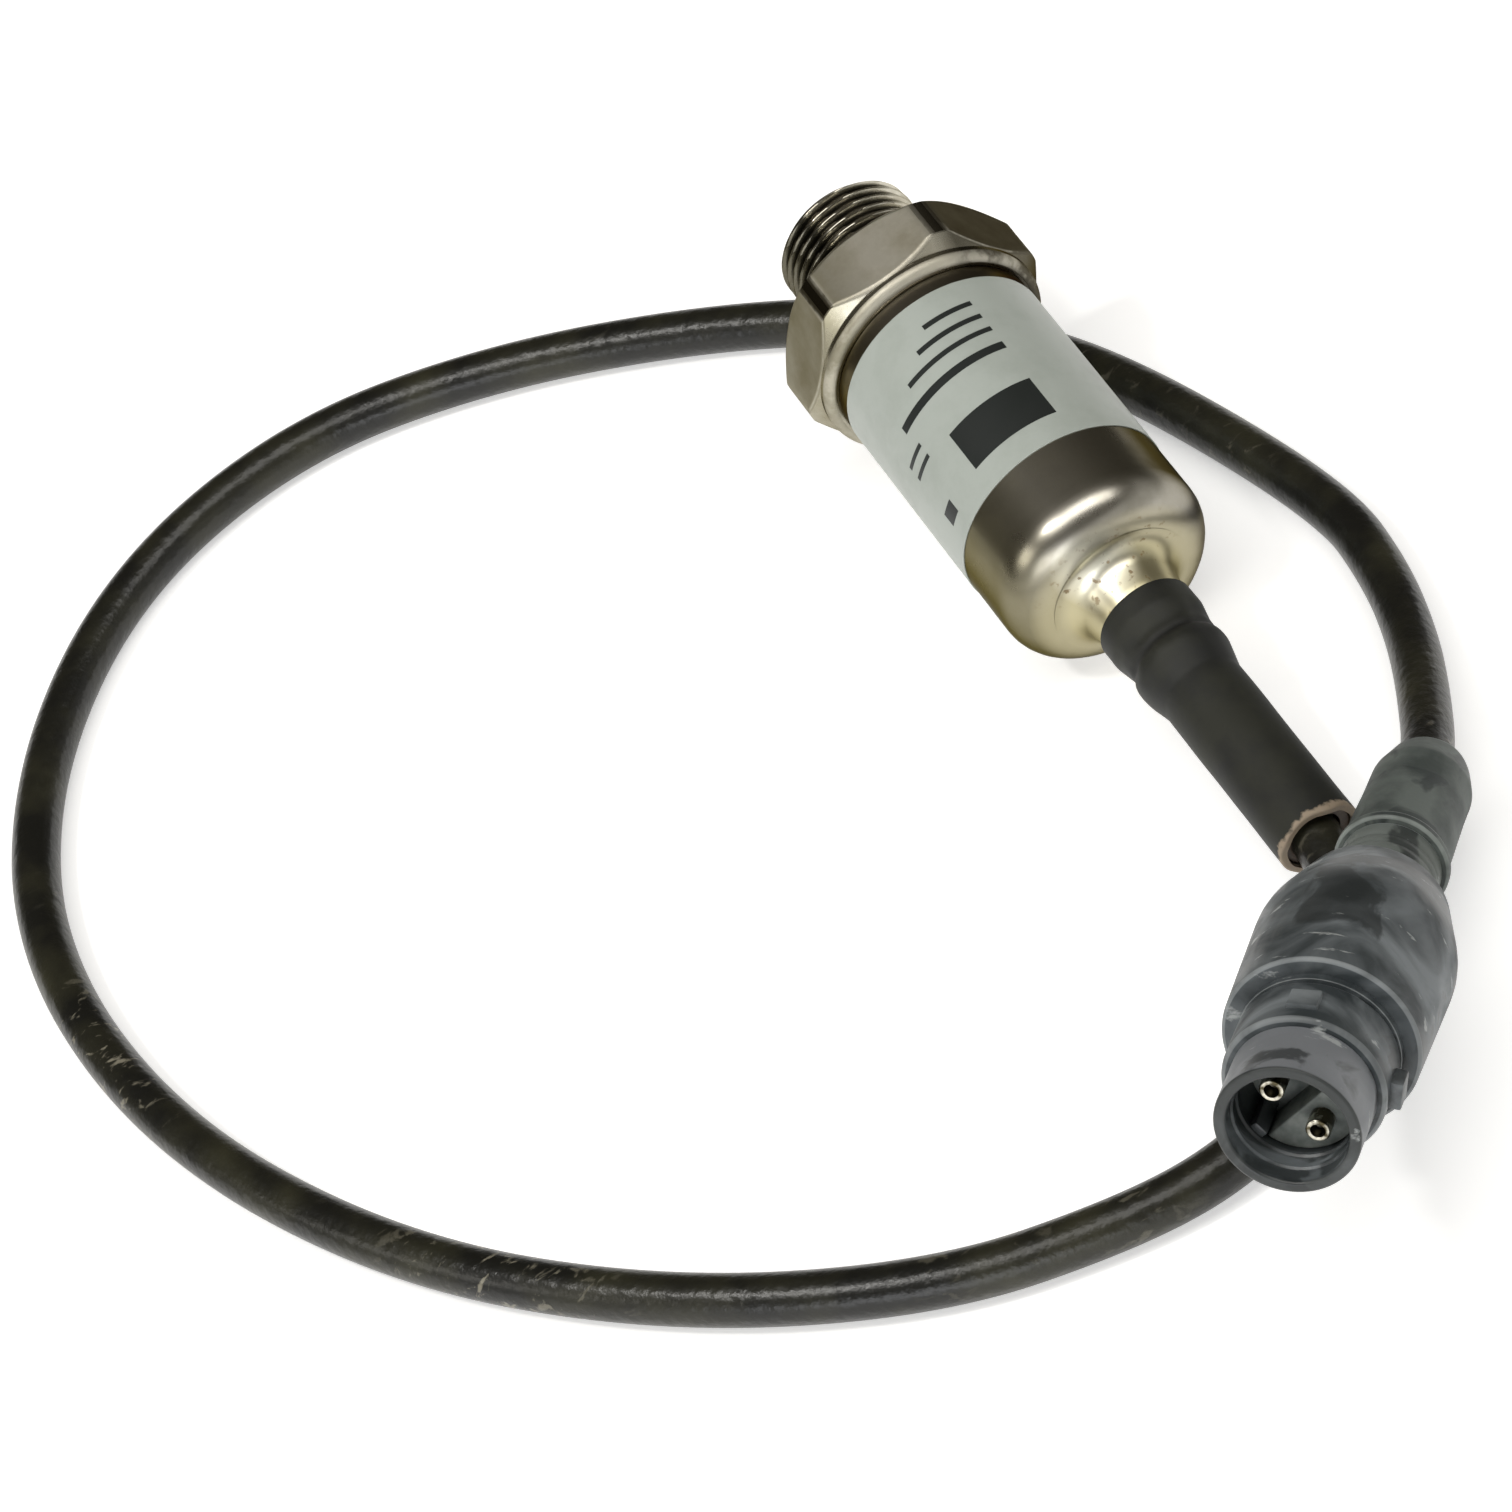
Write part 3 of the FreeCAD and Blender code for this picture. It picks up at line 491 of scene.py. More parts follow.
# Painted shade on the far (-Y) side, weaker on the shoulder
far_side = add(tree, "ShaderNodeMapRange",
               {"Value": axes["Y"], "From Min": -1 * mm, "From Max": -10 * mm, "To Max": 0.8})["Result"]
off_shoulder = add(tree, "ShaderNodeMapRange",
              {"Value": axes["X"], "From Min": -46.5 * mm, "From Max": -44.5 * mm, "To Min": 0.25})["Result"]
painted_far_shade = add(tree, "ShaderNodeMath", {0: far_side, 1: off_shoulder}, operation="MULTIPLY")[0]
# Painted dull olive reflection on the left (+Y) side
left_side = add(tree, "ShaderNodeMapRange",
                {"Value": axes["Y"], "From Min": 3 * mm, "From Max": 10 * mm, "To Max": 0.8})["Result"]
# A darker brown ring on the bare can between the collar and the label
at_rim = add(tree, "ShaderNodeMapRange",
             {"Value": axes["X"], "From Min": -12.6 * mm, "From Max": -11.4 * mm, "To Max": 0.55})["Result"]
on_neck = add(tree, "ShaderNodeMapRange",
              {"Value": axes["X"], "From Min": -48.4 * mm, "From Max": -50.2 * mm})["Result"]
# Painted highlight: a near-white patch on the fillet between the shoulder and the neck
highlight_place = Vector((-50.2, 2.0, 6.4)) * mm
away = add(tree, "ShaderNodeVectorMath", {0: place, 1: highlight_place}, operation="DISTANCE")["Value"]
wear_and_highlight = add(tree, "ShaderNodeMapRange",
             {"Value": away, "From Min": 5.0 * mm, "From Max": 1.6 * mm, "To Max": 0.9})["Result"]
speck_size = 1.1 * mm
speck = add(tree, "ShaderNodeTexNoise", {"Vector": place, "Scale": 1 / speck_size, "Detail": 3.0})["Fac"]
specks = add(tree, "ShaderNodeMapRange",
             {"Value": speck, "From Min": 0.6, "From Max": 0.68, "To Max": 0.8})["Result"]
rust_along = add(tree, "ShaderNodeMapRange",
                 {"Value": axes["X"], "From Min": -48.6 * mm, "From Max": -49.8 * mm})["Result"]
rust_above = add(tree, "ShaderNodeMapRange",
                 {"Value": axes["Z"], "From Min": 2.5 * mm, "From Max": 4.5 * mm})["Result"]
rust_zone = add(tree, "ShaderNodeMath", {0: rust_along, 1: rust_above}, operation="MULTIPLY")[0]
rust = add(tree, "ShaderNodeMath", {0: specks, 1: rust_zone}, operation="MULTIPLY")[0]
layers = [
    (filmed, "#878273"), (painted_far_shade, "#4A4639"), (left_side, "#767055"), (at_rim, "#4B3F2B"),
    (on_neck, "#BDB594"), (wear_and_highlight, "#FDFAE8"), (rust, "#75592F"),
]
colour = linear("#B3AFA5")
for share, shade in layers:
    colour = add(tree, "ShaderNodeMix", {"Factor": share, "A": colour, "B": linear(shade)},
                 data_type="RGBA")["Result"]
bare = add(tree, "ShaderNodeMath", {0: 1.0, 1: rust}, operation="SUBTRACT")[0]
sheen = add(tree, "ShaderNodeMapRange",
            {"Value": film, "From Min": 0.3, "From Max": 0.7, "To Min": 0.25, "To Max": 0.35})["Result"]
neck_roughness = 0.36
dull = add(tree, "ShaderNodeMix", {"Factor": on_neck, "A": sheen, "B": neck_roughness})["Result"]
# Real draw lines are finer than this and wouldn't show
draw_line = 0.5 * mm
drawn_out = add(tree, "ShaderNodeMapping", {"Vector": place, "Scale": (0.06, 1.0, 1.0)})["Vector"]
streaks = add(tree, "ShaderNodeTexNoise",
              {"Vector": drawn_out, "Scale": 1 / draw_line, "Detail": 3.0})["Fac"]
streaked = add(tree, "ShaderNodeMapRange",
               {"Value": axes["X"], "From Min": -42 * mm, "From Max": -38 * mm, "To Max": 0.05})["Result"]
drawn = add(tree, "ShaderNodeBump",
            {"Height": streaks, "Strength": streaked, "Distance": 0.05 * mm})["Normal"]
feed(tree, shader, {
    "Base Color": colour,
    "Metallic": bare,
    "Specular Tint": linear("#8C887C"),
    "Roughness": dull,
    "Normal": drawn,
})
can.data.materials.append(drawn_steel)
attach(can, "root")
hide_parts("sensor_case")

# Label
# A printed polyester film stuck round the can, with its seam at the underside. The print is one dark
# block with plain rules beside it and a small square.
label_radius = 12.32
label_top = -11.7
label_bottom = -37.5
label_line = rounded_line([
    (label_top, can_radius), (label_top, label_radius, 0.05), (label_bottom, label_radius, 0.05),
    (label_bottom, can_radius),
])
label = turned("label_film", label_line, sensor_lie, around=240, arc=(-87, 267), ring=False)

# Polyester film: cool off-white with black print, under a satin laminate that picks up grey dirt
film_print, tree, shader = new_finish("laminated_polyester_film")
place = add(tree, "ShaderNodeTexCoord")["Object"]
axes = add(tree, "ShaderNodeSeparateXYZ", {"Vector": place})
grime_size = 6 * mm
grime = add(tree, "ShaderNodeTexNoise",
            {"Vector": place, "Scale": 1 / grime_size, "Detail": 7.0, "Roughness": 0.65})["Fac"]
grimy = add(tree, "ShaderNodeMapRange",
            {"Value": grime, "From Min": 0.45, "From Max": 0.75, "To Max": 0.5})["Result"]
turn = add(tree, "ShaderNodeMath", {0: axes["Z"], 1: axes["Y"]}, operation="ARCTAN2")[0]
# Each field: middle and reach along the can in mm, heading and spread round it in degrees
print_fields = [
    (-31.2, 2.9, 84, 25), (-15.4, 0.35, 96, 14), (-17.6, 0.35, 91, 19), (-19.8, 0.35, 84, 26),
    (-22.6, 0.55, 75, 35), (-25.6, 0.3, 35, 8), (-27.4, 0.3, 35, 8), (-34.0, 1.0, 31, 5),
]
ink = 0.0
for middle, reach, heading, spread in print_fields:
    along = add(tree, "ShaderNodeMath", {0: axes["X"], 1: middle * mm, 2: reach * mm},
                operation="COMPARE")[0]
    across = add(tree, "ShaderNodeMath", {0: turn, 1: math.radians(heading), 2: math.radians(spread)},
                 operation="COMPARE")[0]
    field = add(tree, "ShaderNodeMath", {0: along, 1: across}, operation="MULTIPLY")[0]
    ink = add(tree, "ShaderNodeMath", {0: field, 1: ink}, operation="MAXIMUM")[0]
colour = linear("#AFB6B0")
for share, shade in ((grimy, "#989F97"), (ink, "#1B201F")):
    colour = add(tree, "ShaderNodeMix", {"Factor": share, "A": colour, "B": linear(shade)},
                 data_type="RGBA")["Result"]
dull = add(tree, "ShaderNodeMapRange", {"Value": grime, "To Min": 0.38, "To Max": 0.58})["Result"]
feed(tree, shader, {"Base Color": colour, "Roughness": dull, "Coat Weight": 0.15, "Coat Roughness": 0.25})
label.data.materials.append(film_print)
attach(label, "root")
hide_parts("label")

# Shrink sleeve
# Dual-wall polyolefin tube shrunk over the neck and the cable. It creases where the neck ends, and
# its cut end is a little ragged.
sleeve_start = -54.5
sleeve_mouth = -89.3
sleeve_radius = 4.65
sleeve_bore = 3.85
swell_round = 2.4
bunch_station = -60.5
crease_station = -60.8
crease_depth = 0.32
sleeve_line = rounded_line([
    (sleeve_start, 4.8), (sleeve_start, 5.55, 0.25), (-57.2, 5.55, swell_round), (-59.6, 5.0, swell_round),
    (-62.5, 5.5, swell_round), (-66.3, sleeve_radius, swell_round), (sleeve_mouth, sleeve_radius, 0.3),
    (sleeve_mouth, sleeve_bore), (-80.0, sleeve_bore), (-66.3, sleeve_bore), (-60.0, 4.2), (-58.0, 4.8),
], step=0.25)


def sleeve_form(station, radius, angle, worn):
    """Lumps of the shrunk wall, its crease, and the uneven cut at the mouth. The crease is kept as wear,
    which the finish turns into painted shade.
    """
    around = Vector((math.cos(angle), math.sin(angle), 0)) * 1.1
    lump = noise.noise(Vector((station * 0.16, around.x, around.y)))
    fold = noise.noise(Vector((station * 0.55, around.x * 2.2, around.y * 2.2)))
    bunched = math.exp(-((station - bunch_station) / 3.5) ** 2)
    from_crease = station - crease_station + 0.3 * lump
    crease = math.exp(-(from_crease / 0.5) ** 2) * (0.6 + 0.4 * math.sin(angle))
    outside = radius > 4.4
    swell = 0.07 * lump + 0.2 * bunched * fold - crease_depth * crease if outside else 0.0
    ragged = max(0.0, 1 - (station - sleeve_mouth) / 2.0)
    cut = 0.35 * ragged * noise.noise(Vector((4.0, around.x * 1.6, around.y * 1.6)))
    return station + cut, radius + swell, crease


sleeve = turned("shrink_sleeve_skin", sleeve_line, sensor_lie, sleeve_form, around=160)

# Shrunk polyolefin: charcoal with an olive cast, fine orange peel, dull, dusty, with painted shade in the
# crease and a pale tan edge of set adhesive at the mouth
polyolefin, tree, shader = new_finish("shrunk_polyolefin")
place = add(tree, "ShaderNodeTexCoord")["Object"]
along = add(tree, "ShaderNodeSeparateXYZ", {"Vector": place})["X"]
# Painted shade in the crease, from the crease depth kept as wear
crease_shade = add(tree, "ShaderNodeAttribute", attribute_name="wear")["Fac"]
dust_size = 8 * mm
dust = add(tree, "ShaderNodeTexNoise",
           {"Vector": place, "Scale": 1 / dust_size, "Detail": 7.0, "Roughness": 0.6})["Fac"]
dusty = add(tree, "ShaderNodeMapRange", {"Value": dust, "From Min": 0.42, "From Max": 0.62})["Result"]
crumb_size = 1.0 * mm
crumb = add(tree, "ShaderNodeTexNoise", {"Vector": place, "Scale": 1 / crumb_size, "Detail": 4.0})["Fac"]
torn = add(tree, "ShaderNodeMath", {0: crumb, 1: 1.9 * mm, 2: along}, operation="MULTIPLY_ADD")[0]
glued = add(tree, "ShaderNodeMapRange",
            {"Value": torn, "From Min": -87.6 * mm, "From Max": -88.0 * mm})["Result"]
colour = linear("#0E100D")
for share, shade in ((dusty, "#202118"), (glued, "#978875"), (crease_shade, "#0C0D0B")):
    colour = add(tree, "ShaderNodeMix", {"Factor": share, "A": colour, "B": linear(shade)},
                 data_type="RGBA")["Result"]
dull = add(tree, "ShaderNodeMapRange", {"Value": dust, "To Min": 0.5, "To Max": 0.75})["Result"]
peel = add(tree, "ShaderNodeBump", {"Height": crumb, "Strength": 0.18, "Distance": 0.12 * mm})["Normal"]
feed(tree, shader, {"Base Color": colour, "Roughness": dull, "Normal": peel})
sleeve.data.materials.append(polyolefin)
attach(sleeve, "root")
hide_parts("shrink_sleeve")

# Sleeve lining
# The sleeve's inner wall of hot-melt adhesive, which flowed round the cable and set in the mouth.
lining_bore = 2.8
lining_radius = 3.84
lining_line = rounded_line([
    (-85.0, lining_bore), (-85.0, lining_radius), (-88.7, lining_radius, 0.2), (-88.5, lining_bore),
], step=0.4)
lining = turned("sleeve_lining", lining_line, sensor_lie, around=96)

# Set hot-melt adhesive: brown, waxy and lumpy
hot_melt, tree, shader = new_finish("hot_melt_adhesive")
place = add(tree, "ShaderNodeTexCoord")["Object"]
lump_size = 1.2 * mm
lump = add(tree, "ShaderNodeTexNoise", {"Vector": place, "Scale": 1 / lump_size, "Detail": 4.0})["Fac"]
brown = add(tree, "ShaderNodeMix", {"Factor": lump, "A": linear("#2A1F15"), "B": linear("#5A4833")},
            data_type="RGBA")["Result"]
lumpy = add(tree, "ShaderNodeBump", {"Height": lump, "Strength": 0.5, "Distance": 0.2 * mm})["Normal"]
feed(tree, shader, {"Base Color": brown, "Roughness": 0.5, "Normal": lumpy})
lining.data.materials.append(hot_melt)
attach(lining, "root")
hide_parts("sleeve_liner")

# Plug boot
# A rubber boot moulded round the cable and the barrel's tail, with a lip at its front.
plug_spot = Matrix.Translation(Vector((-52.57, -12.5, 8.68)) * mm)
plug_heading = Matrix.Rotation(math.radians(140.8), 4, "Z")
plug_rise = Matrix.Rotation(math.radians(-19.8), 4, "Y")
plug_lie = plug_spot @ plug_heading @ plug_rise
boot_bore = 2.6
boot_front = 18.1
lip_start = 16.9
lip_radius = 5.8
tail_radius = 3.7
boot_line = rounded_line([
    (0.0, boot_bore), (0.0, 4.1, 1.0), (4.0, 5.2, 2.0), (lip_start, 5.4), (lip_start, lip_radius, 0.35),
    (boot_front, lip_radius, 0.35), (boot_front, tail_radius), (6.0, boot_bore),
], step=0.5)


def boot_form(station, radius, angle, worn):
    """Soft rubber, never quite round, with an uneven moulded rear edge."""
    around = Vector((math.cos(angle), math.sin(angle), 0))
    lump = noise.noise(Vector((station * 0.2, around.x, around.y)))
    rear = max(0.0, 1 - station / 2.0)
    return station + 0.35 * rear * noise.noise(around * 2.1), radius + 0.08 * lump, worn


boot = turned("plug_boot_skin", boot_line, plug_lie, boot_form, around=128)

# Aged moulded rubber: dull grey with a green cast, a chalky bloom, oily dark patches, a rubbed pale lip
rubber, tree, shader = new_finish("aged_moulded_rubber")
place = add(tree, "ShaderNodeTexCoord")["Object"]
wear_and_highlight = add(tree, "ShaderNodeAttribute", attribute_name="wear")["Fac"]
bloom_size = 6 * mm
bloom = add(tree, "ShaderNodeTexNoise", {"Vector": place, "Scale": 1 / bloom_size, "Detail": 4.0})["Fac"]
chalky = add(tree, "ShaderNodeMapRange", {"Value": bloom, "From Min": 0.38, "From Max": 0.62})["Result"]
oil_size = 5 * mm
oil = add(tree, "ShaderNodeTexNoise",
          {"Vector": place, "Scale": 1 / oil_size, "Detail": 3.0, "Distortion": 0.8})["Fac"]
oily = add(tree, "ShaderNodeMapRange",
           {"Value": oil, "From Min": 0.56, "From Max": 0.64, "To Max": 0.7})["Result"]
pale = add(tree, "ShaderNodeMath", {0: wear_and_highlight, 1: chalky}, operation="MULTIPLY")[0]
colour = linear("#3A413F")
for share, shade in ((chalky, "#616865"), (oily, "#22282A"), (pale, "#868D8A")):
    colour = add(tree, "ShaderNodeMix", {"Factor": share, "A": colour, "B": linear(shade)},
                 data_type="RGBA")["Result"]
dull = add(tree, "ShaderNodeMapRange", {"Value": oil, "To Min": 0.75, "To Max": 0.4})["Result"]
# The moulded grain is finer than this and wouldn't show
grain_size = 0.5 * mm
grain = add(tree, "ShaderNodeTexNoise", {"Vector": place, "Scale": 1 / grain_size, "Detail": 3.0})["Fac"]
skin = add(tree, "ShaderNodeBump", {"Height": grain, "Strength": 0.15, "Distance": 0.1 * mm})["Normal"]
feed(tree, shader, {"Base Color": colour, "Roughness": dull, "Normal": skin})
boot.data.materials.append(rubber)
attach(boot, "root")
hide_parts("connector_boot")

# Plug barrel
# Glass-filled nylon, moulded, with fine rings on the neck where the boot ends. It is gripped by hand,
# so its edges are rubbed pale.
tail_end = 9.0
core_bore = 2.75
barrel_neck = 5.1
ring_groove = 5.02
barrel_rear = 25.9
barrel_front = 49.2
spigot_bore = 6.55
spigot_floor = 37.2
barrel_line = [
    (tail_end, core_bore), (tail_end, tail_radius), (boot_front, tail_radius),
    (boot_front, barrel_neck, 0.2),
]
for ring in (19.9, 21.1, 22.3, 23.5):
    barrel_line += [
        (ring, barrel_neck), (ring + 0.12, ring_groove), (ring + 0.28, ring_groove),
        (ring + 0.4, barrel_neck),
    ]
barrel_line += [
    (barrel_rear, barrel_neck), (barrel_rear, 7.5, 0.6), (33.9, 10.0, 10.0), (barrel_front, 9.6, 0.4),
    (barrel_front, spigot_bore), (spigot_floor, spigot_bore), (spigot_floor, core_bore),
]
barrel = turned("plug_barrel_skin", rounded_line(barrel_line, step=0.6), plug_lie)

# Moulded glass-filled nylon: dark grey with a blue cast, dull, with chalky smears, oily dark patches,
# a few hard white scratches and thin pale edges. The neck is greener and the shroud paler from handling
nylon, tree, shader = new_finish("moulded_glass_filled_nylon")
place = add(tree, "ShaderNodeTexCoord")["Object"]
wear_and_highlight = add(tree, "ShaderNodeAttribute", attribute_name="wear")["Fac"]
station = add(tree, "ShaderNodeSeparateXYZ", {"Vector": place})["X"]
across = add(tree, "ShaderNodeMapping", {"Vector": place, "Scale": (0.0, 1.0, 1.0)})["Vector"]
from_axis = add(tree, "ShaderNodeVectorMath", {0: across}, operation="LENGTH")["Value"]
smear_size = 8 * mm
dragged = add(tree, "ShaderNodeMapping",
              {"Vector": place, "Scale": (1.0, 0.55, 0.8), "Rotation": (0, 0.5, 0.4)})["Vector"]
smear = add(tree, "ShaderNodeTexNoise",
            {"Vector": dragged, "Scale": 1 / smear_size, "Detail": 5.0, "Distortion": 0.8})["Fac"]
smeared = add(tree, "ShaderNodeMapRange", {"Value": smear, "From Min": 0.4, "From Max": 0.64})["Result"]
on_neck = add(tree, "ShaderNodeMapRange",
              {"Value": station, "From Min": 26.2 * mm, "From Max": 25.8 * mm, "To Max": 0.7})["Result"]
front = add(tree, "ShaderNodeMath", {0: station, 1: 59.925 * mm, 2: 3.275 * mm}, operation="COMPARE")[0]
outside = add(tree, "ShaderNodeMapRange",
              {"Value": from_axis, "From Min": 6.4 * mm, "From Max": 6.9 * mm, "To Max": 0.75})["Result"]
handled = add(tree, "ShaderNodeMath", {0: front, 1: outside}, operation="MULTIPLY")[0]
at_rim = add(tree, "ShaderNodeMapRange",
             {"Value": station, "From Min": 63.0 * mm, "From Max": 63.3 * mm, "To Max": 0.8})["Result"]
oil_size = 9 * mm
oil = add(tree, "ShaderNodeTexNoise",
          {"Vector": place, "Scale": 1 / oil_size, "Detail": 5.0, "Distortion": 1.2})["Fac"]
oily = add(tree, "ShaderNodeMapRange",
           {"Value": oil, "From Min": 0.54, "From Max": 0.6, "To Max": 0.75})["Result"]
scratch_size = 3.6 * mm
drawn_out = add(tree, "ShaderNodeMapping",
                {"Vector": place, "Scale": (2.2, 0.5, 1.0), "Rotation": (0.3, 0.2, 0.9)})["Vector"]
scratch = add(tree, "ShaderNodeTexNoise",
              {"Vector": drawn_out, "Scale": 1 / scratch_size, "Detail": 8.0, "Roughness": 0.6})["Fac"]
scratched = add(tree, "ShaderNodeMapRange",
                {"Value": scratch, "From Min": 0.63, "From Max": 0.68, "To Max": 0.8})["Result"]
pale = add(tree, "ShaderNodeMapRange",
           {"Value": smear, "From Min": 0.35, "From Max": 0.6, "To Min": 0.25, "To Max": 0.9})["Result"]
worn = add(tree, "ShaderNodeMath", {0: wear_and_highlight, 1: pale}, operation="MULTIPLY")[0]
layers = [
    (smeared, "#787E82"), (on_neck, "#646A64"), (handled, "#82858A"), (at_rim, "#2F3231"),
    (oily, "#202425"), (scratched, "#ABAFAF"), (worn, "#93989A"),
]
colour = linear("#2F3538")
for share, shade in layers:
    colour = add(tree, "ShaderNodeMix", {"Factor": share, "A": colour, "B": linear(shade)},
                 data_type="RGBA")["Result"]
dull = add(tree, "ShaderNodeMapRange",
           {"Value": oil, "From Min": 0.4, "From Max": 0.6, "To Min": 0.62, "To Max": 0.36})["Result"]
# The moulded grain is finer than this and wouldn't show
grain_size = 0.6 * mm
grain = add(tree, "ShaderNodeTexNoise", {"Vector": place, "Scale": 1 / grain_size, "Detail": 4.0})["Fac"]
skin = add(tree, "ShaderNodeBump", {"Height": grain, "Strength": 0.1, "Distance": 0.1 * mm})["Normal"]
feed(tree, shader, {"Base Color": colour, "Roughness": dull, "Normal": skin})
barrel.data.materials.append(nylon)
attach(barrel, "root")
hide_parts("connector_barrel")

# Plug shroud
# The plug's front, moulded in one with its collar ring, two locking lugs and a key rib in the socket,
# and snapped into the barrel.
spigot_radius = 6.5
collar_ring = 7.9
collar_front = 56.6
shroud_radius = 7.0
shroud_mouth = 63.45
socket_radius = 5.8
seal_ring = 5.6
insert_rear = 47.95
insert_face = 53.95
shroud_line = [
    (spigot_floor, spigot_radius), (barrel_front, spigot_radius), (barrel_front, collar_ring),
    (50.0, collar_ring, 0.1), (50.1, 7.45), (50.6, 7.45), (50.7, collar_ring, 0.1),
    (collar_front, collar_ring, 0.5), (collar_front, shroud_radius),
    (shroud_mouth, shroud_radius, 0.35, 0.0), (shroud_mouth, socket_radius, 0.35, 0.0),
    (61.4, socket_radius), (61.2, seal_ring), (60.8, seal_ring), (60.6, socket_radius),
    (59.4, socket_radius), (59.2, seal_ring), (58.8, seal_ring), (58.6, socket_radius),
    (insert_rear, socket_radius), (insert_rear, 5.0),
]
shroud = turned("plug_shroud_skin", rounded_line(shroud_line, step=0.6), plug_lie)


block_bevel = 0.22
block_wear = 0.2


def add_block(target, low, high, roll):
    """Joins a bevelled block, given by its (station, across, out) corners, to a turned mesh at a roll."""
    shell = bmesh.new()
    shell.from_mesh(target.data)
    wear = shell.verts.layers.float["wear"]
    made = bmesh.ops.create_cube(shell, size=1.0)["verts"]
    for vert in made:
        for axis in range(3):
            vert.co[axis] = (high if vert.co[axis] > 0 else low)[axis] * mm
    corners = made + list({edge for vert in made for edge in vert.link_edges})
    bevelled = bmesh.ops.bevel(shell, geom=corners, offset=block_bevel * mm, segments=2, profile=0.5,
                               affect="EDGES")
    spin = Matrix.Rotation(math.radians(roll - 90), 4, "X")
    for vert in {vert for face in bevelled["faces"] for vert in face.verts}:
        vert.co = spin @ vert.co
        vert[wear] = block_wear
    shell.to_mesh(target.data)
    shell.free()
    smooth(target.data)


lug_rear = 52.35
lug_front = 54.95
lug_half = 1.5
lug_root = 7.1
for lug_roll, lug_reach in ((83, 8.35), (344, 9.0)):
    add_block(shroud, (lug_rear, -lug_half, lug_root), (lug_front, lug_half, lug_reach), lug_roll)
rib_front = 58.95
rib_half = 0.8
rib_crest = 4.8
rib_root = 6.1
rib_roll = 214
add_block(shroud, (insert_face, -rib_half, rib_crest), (rib_front, rib_half, rib_root), rib_roll)
shroud.data.materials.append(nylon)
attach(shroud, "root")
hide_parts("connector_shroud")

# Pin insert
# A moulded disc at the bottom of the socket that holds the two pins, raised on one half.
pin_roll = math.radians(-52)
insert_reach = 5.75
on_axis = 0.05
step_edge = 0.9
step_face = 58.05
step_sink = 0.05
step_bevel = 0.2
insert_line = rounded_line([
    (insert_rear, on_axis), (insert_rear, insert_reach), (insert_face, insert_reach), (insert_face, on_axis),
], step=0.6)
insert = turned("pin_insert_skin", insert_line, plug_lie, around=96, ring=False)
shell = bmesh.new()
shell.from_mesh(insert.data)
half_arc = math.acos(step_edge / insert_reach)
bits = 48
rim = []
for bit in range(bits + 1):
    angle = pin_roll + half_arc * (2 * bit / bits - 1)
    spot = Vector((insert_face - step_sink, insert_reach * math.cos(angle), insert_reach * math.sin(angle)))
    rim.append(shell.verts.new(spot * mm))
raised = bmesh.ops.extrude_face_region(shell, geom=[shell.faces.new(rim)])["geom"]
top = [item for item in raised if isinstance(item, bmesh.types.BMVert)]
for vert in top:
    vert.co.x = step_face * mm
edges = [edge for edge in shell.edges if edge.verts[0] in top and edge.verts[1] in top]
bmesh.ops.bevel(shell, geom=edges, offset=step_bevel * mm, segments=2, profile=0.5, affect="EDGES")
bmesh.ops.recalc_face_normals(shell, faces=shell.faces)
shell.to_mesh(insert.data)
shell.free()
smooth(insert.data)

# Moulded nylon, unworn in the depth of the socket: grey under settled dust, dull
insert_nylon, tree, shader = new_finish("moulded_nylon_insert")
place = add(tree, "ShaderNodeTexCoord")["Object"]
dust_size = 2 * mm
dust = add(tree, "ShaderNodeTexNoise", {"Vector": place, "Scale": 1 / dust_size, "Detail": 5.0})["Fac"]
dusty = add(tree, "ShaderNodeMapRange", {"Value": dust, "From Min": 0.35, "From Max": 0.65})["Result"]
grey = add(tree, "ShaderNodeMix", {"Factor": dusty, "A": linear("#5C625F"), "B": linear("#868B86")},
           data_type="RGBA")["Result"]
skin = add(tree, "ShaderNodeBump", {"Height": dust, "Strength": 0.2, "Distance": 0.1 * mm})["Normal"]
feed(tree, shader, {"Base Color": grey, "Roughness": 0.6, "Normal": skin})
insert.data.materials.append(insert_nylon)
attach(insert, "root")
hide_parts("pin_carrier")

# Contact pins
# Two turned brass pins, tin-plated, with a centre-drilled tip, pressed into the insert.
pin_rear = 46.25
pin_tip = 60.25
pin_radius = 1.2
pin_aside = 2.9
pin_line = rounded_line([
    (pin_rear, on_axis), (pin_rear, pin_radius), (pin_tip, pin_radius, 0.2), (pin_tip, 0.7, 0.1),
    (58.8, 0.6), (58.5, on_axis),
], step=0.4)

# Tinned brass: bright where the mating contact rubs, olive with tarnish elsewhere, darker inside the drilled
# tip
tinned, tree, shader = new_finish("tinned_brass")
place = add(tree, "ShaderNodeTexCoord")["Object"]
tarnish_size = 1.6 * mm
tarnish = add(tree, "ShaderNodeTexNoise",
              {"Vector": place, "Scale": 1 / tarnish_size, "Detail": 4.0})["Fac"]
tarnished = add(tree, "ShaderNodeMapRange",
                {"Value": tarnish, "From Min": 0.42, "From Max": 0.56})["Result"]
across = add(tree, "ShaderNodeMapping", {"Vector": place, "Scale": (0.0, 1.0, 1.0)})["Vector"]
from_axis = add(tree, "ShaderNodeVectorMath", {0: across}, operation="LENGTH")["Value"]
in_hole = add(tree, "ShaderNodeMapRange", {
    "Value": from_axis, "From Min": 0.6 * mm, "From Max": 0.72 * mm, "To Min": 0.9, "To Max": 0.0,
})["Result"]
colour = linear("#DCD8C8")
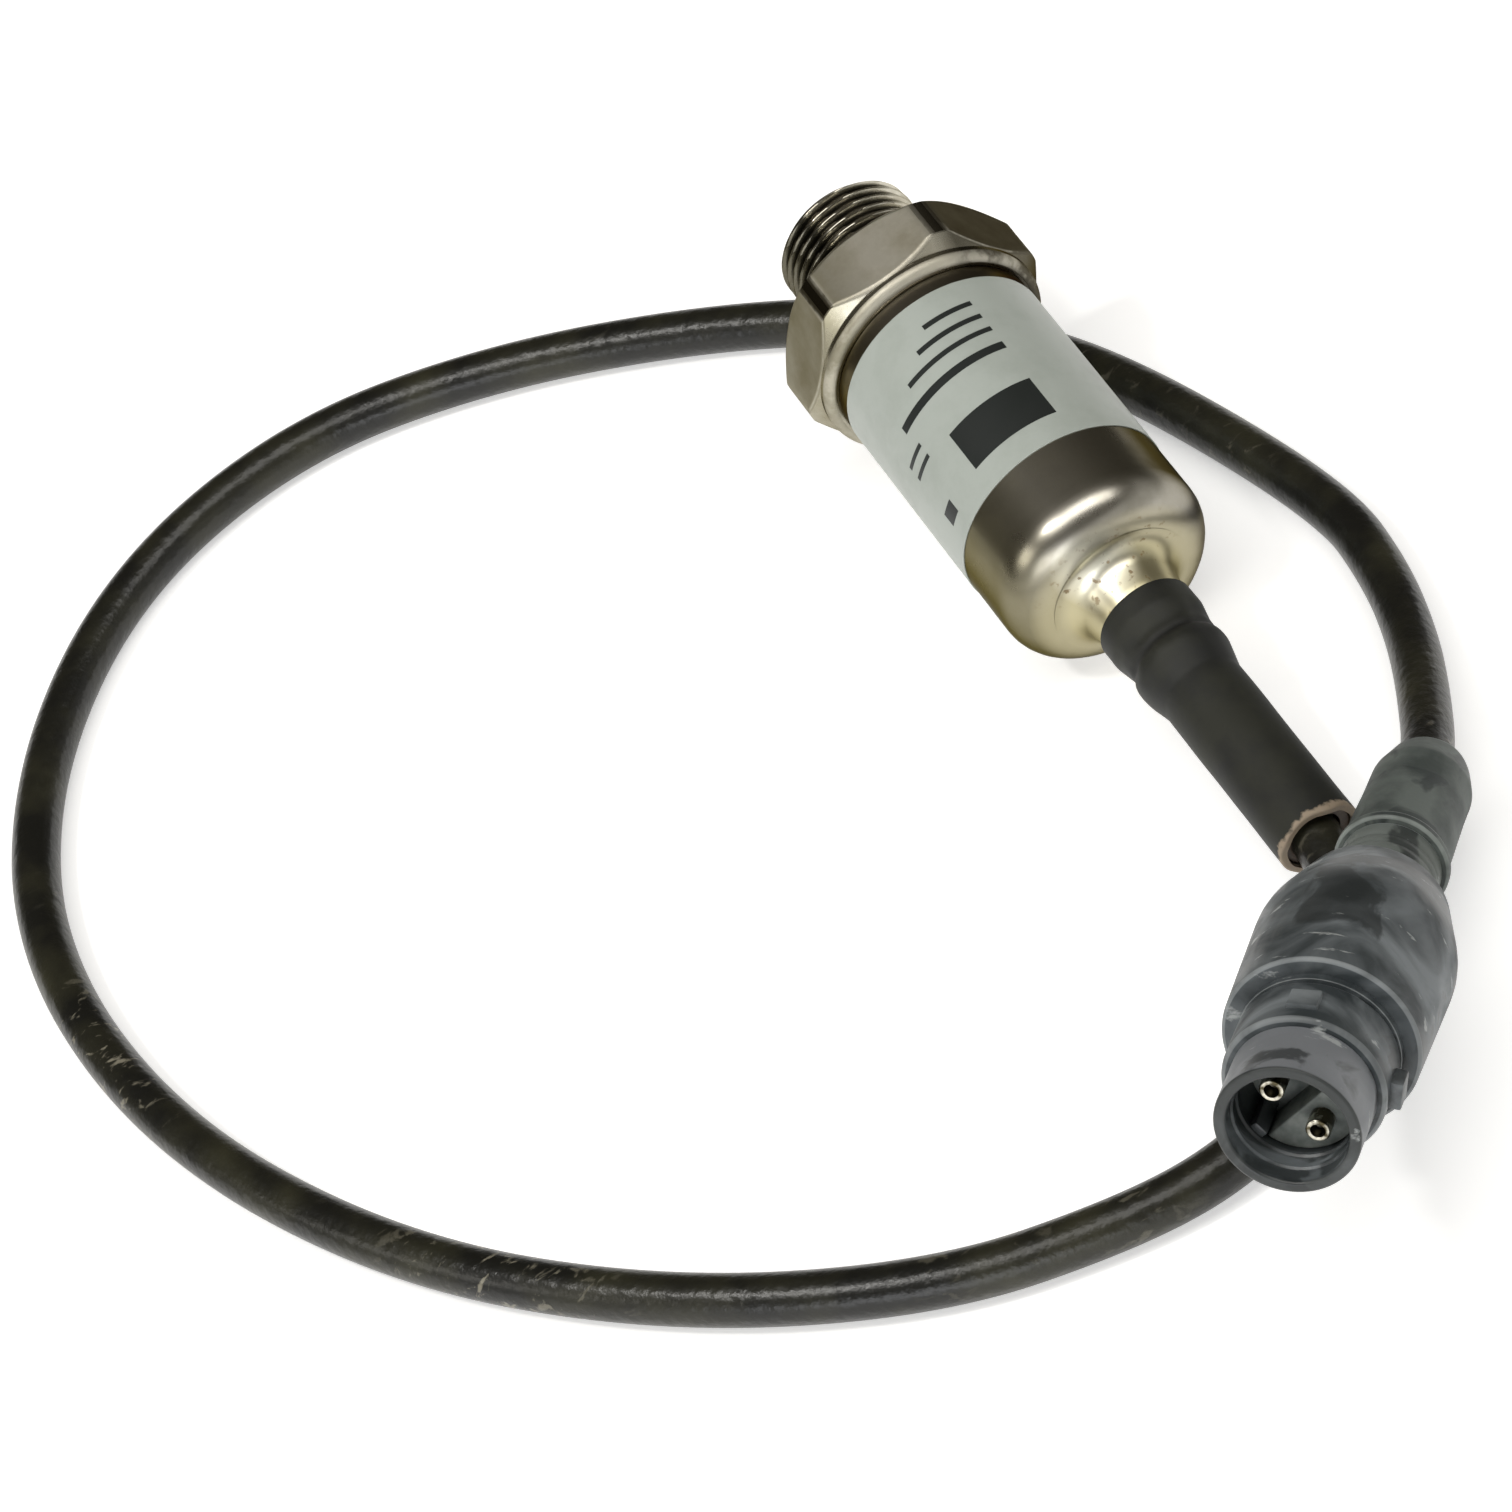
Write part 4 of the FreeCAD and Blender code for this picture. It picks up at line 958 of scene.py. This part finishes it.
for share, shade in ((tarnished, "#4E4836"), (in_hole, "#2E2A1D")):
    colour = add(tree, "ShaderNodeMix", {"Factor": share, "A": colour, "B": linear(shade)},
                 data_type="RGBA")["Result"]
feed(tree, shader, {"Base Color": colour, "Metallic": 1.0, "Roughness": 0.28})
for number, side in ((1, 1), (2, -1)):
    aside = Vector((0, math.cos(pin_roll), math.sin(pin_roll))) * side * pin_aside * mm
    pin_lie = plug_lie @ Matrix.Translation(aside)
    pin = turned("contact_pin_%d_skin" % number, pin_line, pin_lie, around=64, ring=False)
    pin.data.materials.append(tinned)
    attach(pin, "root")
    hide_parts("contact_pin_%d" % number)

# Parts inside
# The cell, the board and its carrier, the cores and the potting. Nothing shows of them on the closed
# sensor, so the CAD solids carry plain finishes: a name, a colour, how metallic and how rough.
inside_finish = {
    "measuring_cell": ("ground_steel", "#B4B0A6", 1.0, 0.35),
    "cell_leads": ("gilded_leads", "#C9A54E", 1.0, 0.3),
    "board_carrier": ("black_pbt", "#232323", 0.0, 0.6),
    "circuit_board": ("solder_mask_on_glass_epoxy", "#1F5C33", 0.0, 0.4),
    "board_chips": ("moulded_epoxy", "#17171A", 0.0, 0.55),
    "supply_core": ("brown_pvc", "#5A3520", 0.0, 0.5),
    "signal_core": ("white_pvc", "#DEDCD4", 0.0, 0.5),
    "screen_core": ("black_pvc", "#1B1B1B", 0.0, 0.5),
    "plug_core_1": ("brown_pvc", "#5A3520", 0.0, 0.5),
    "plug_core_2": ("white_pvc", "#DEDCD4", 0.0, 0.5),
    "potting_plug": ("cast_epoxy", "#242424", 0.0, 0.35),
}
coats = {"cable_lead_in": jacket}
for node_name, (finish, shade, metallic, rough) in inside_finish.items():
    coat = bpy.data.materials.get(finish)
    if coat is None:
        coat, tree, shader = new_finish(finish)
        feed(tree, shader, {"Base Color": linear(shade), "Metallic": metallic, "Roughness": rough})
    coats[node_name] = coat
for node_name, coat in coats.items():
    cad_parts[node_name].data.materials.clear()
    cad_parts[node_name].data.materials.append(coat)
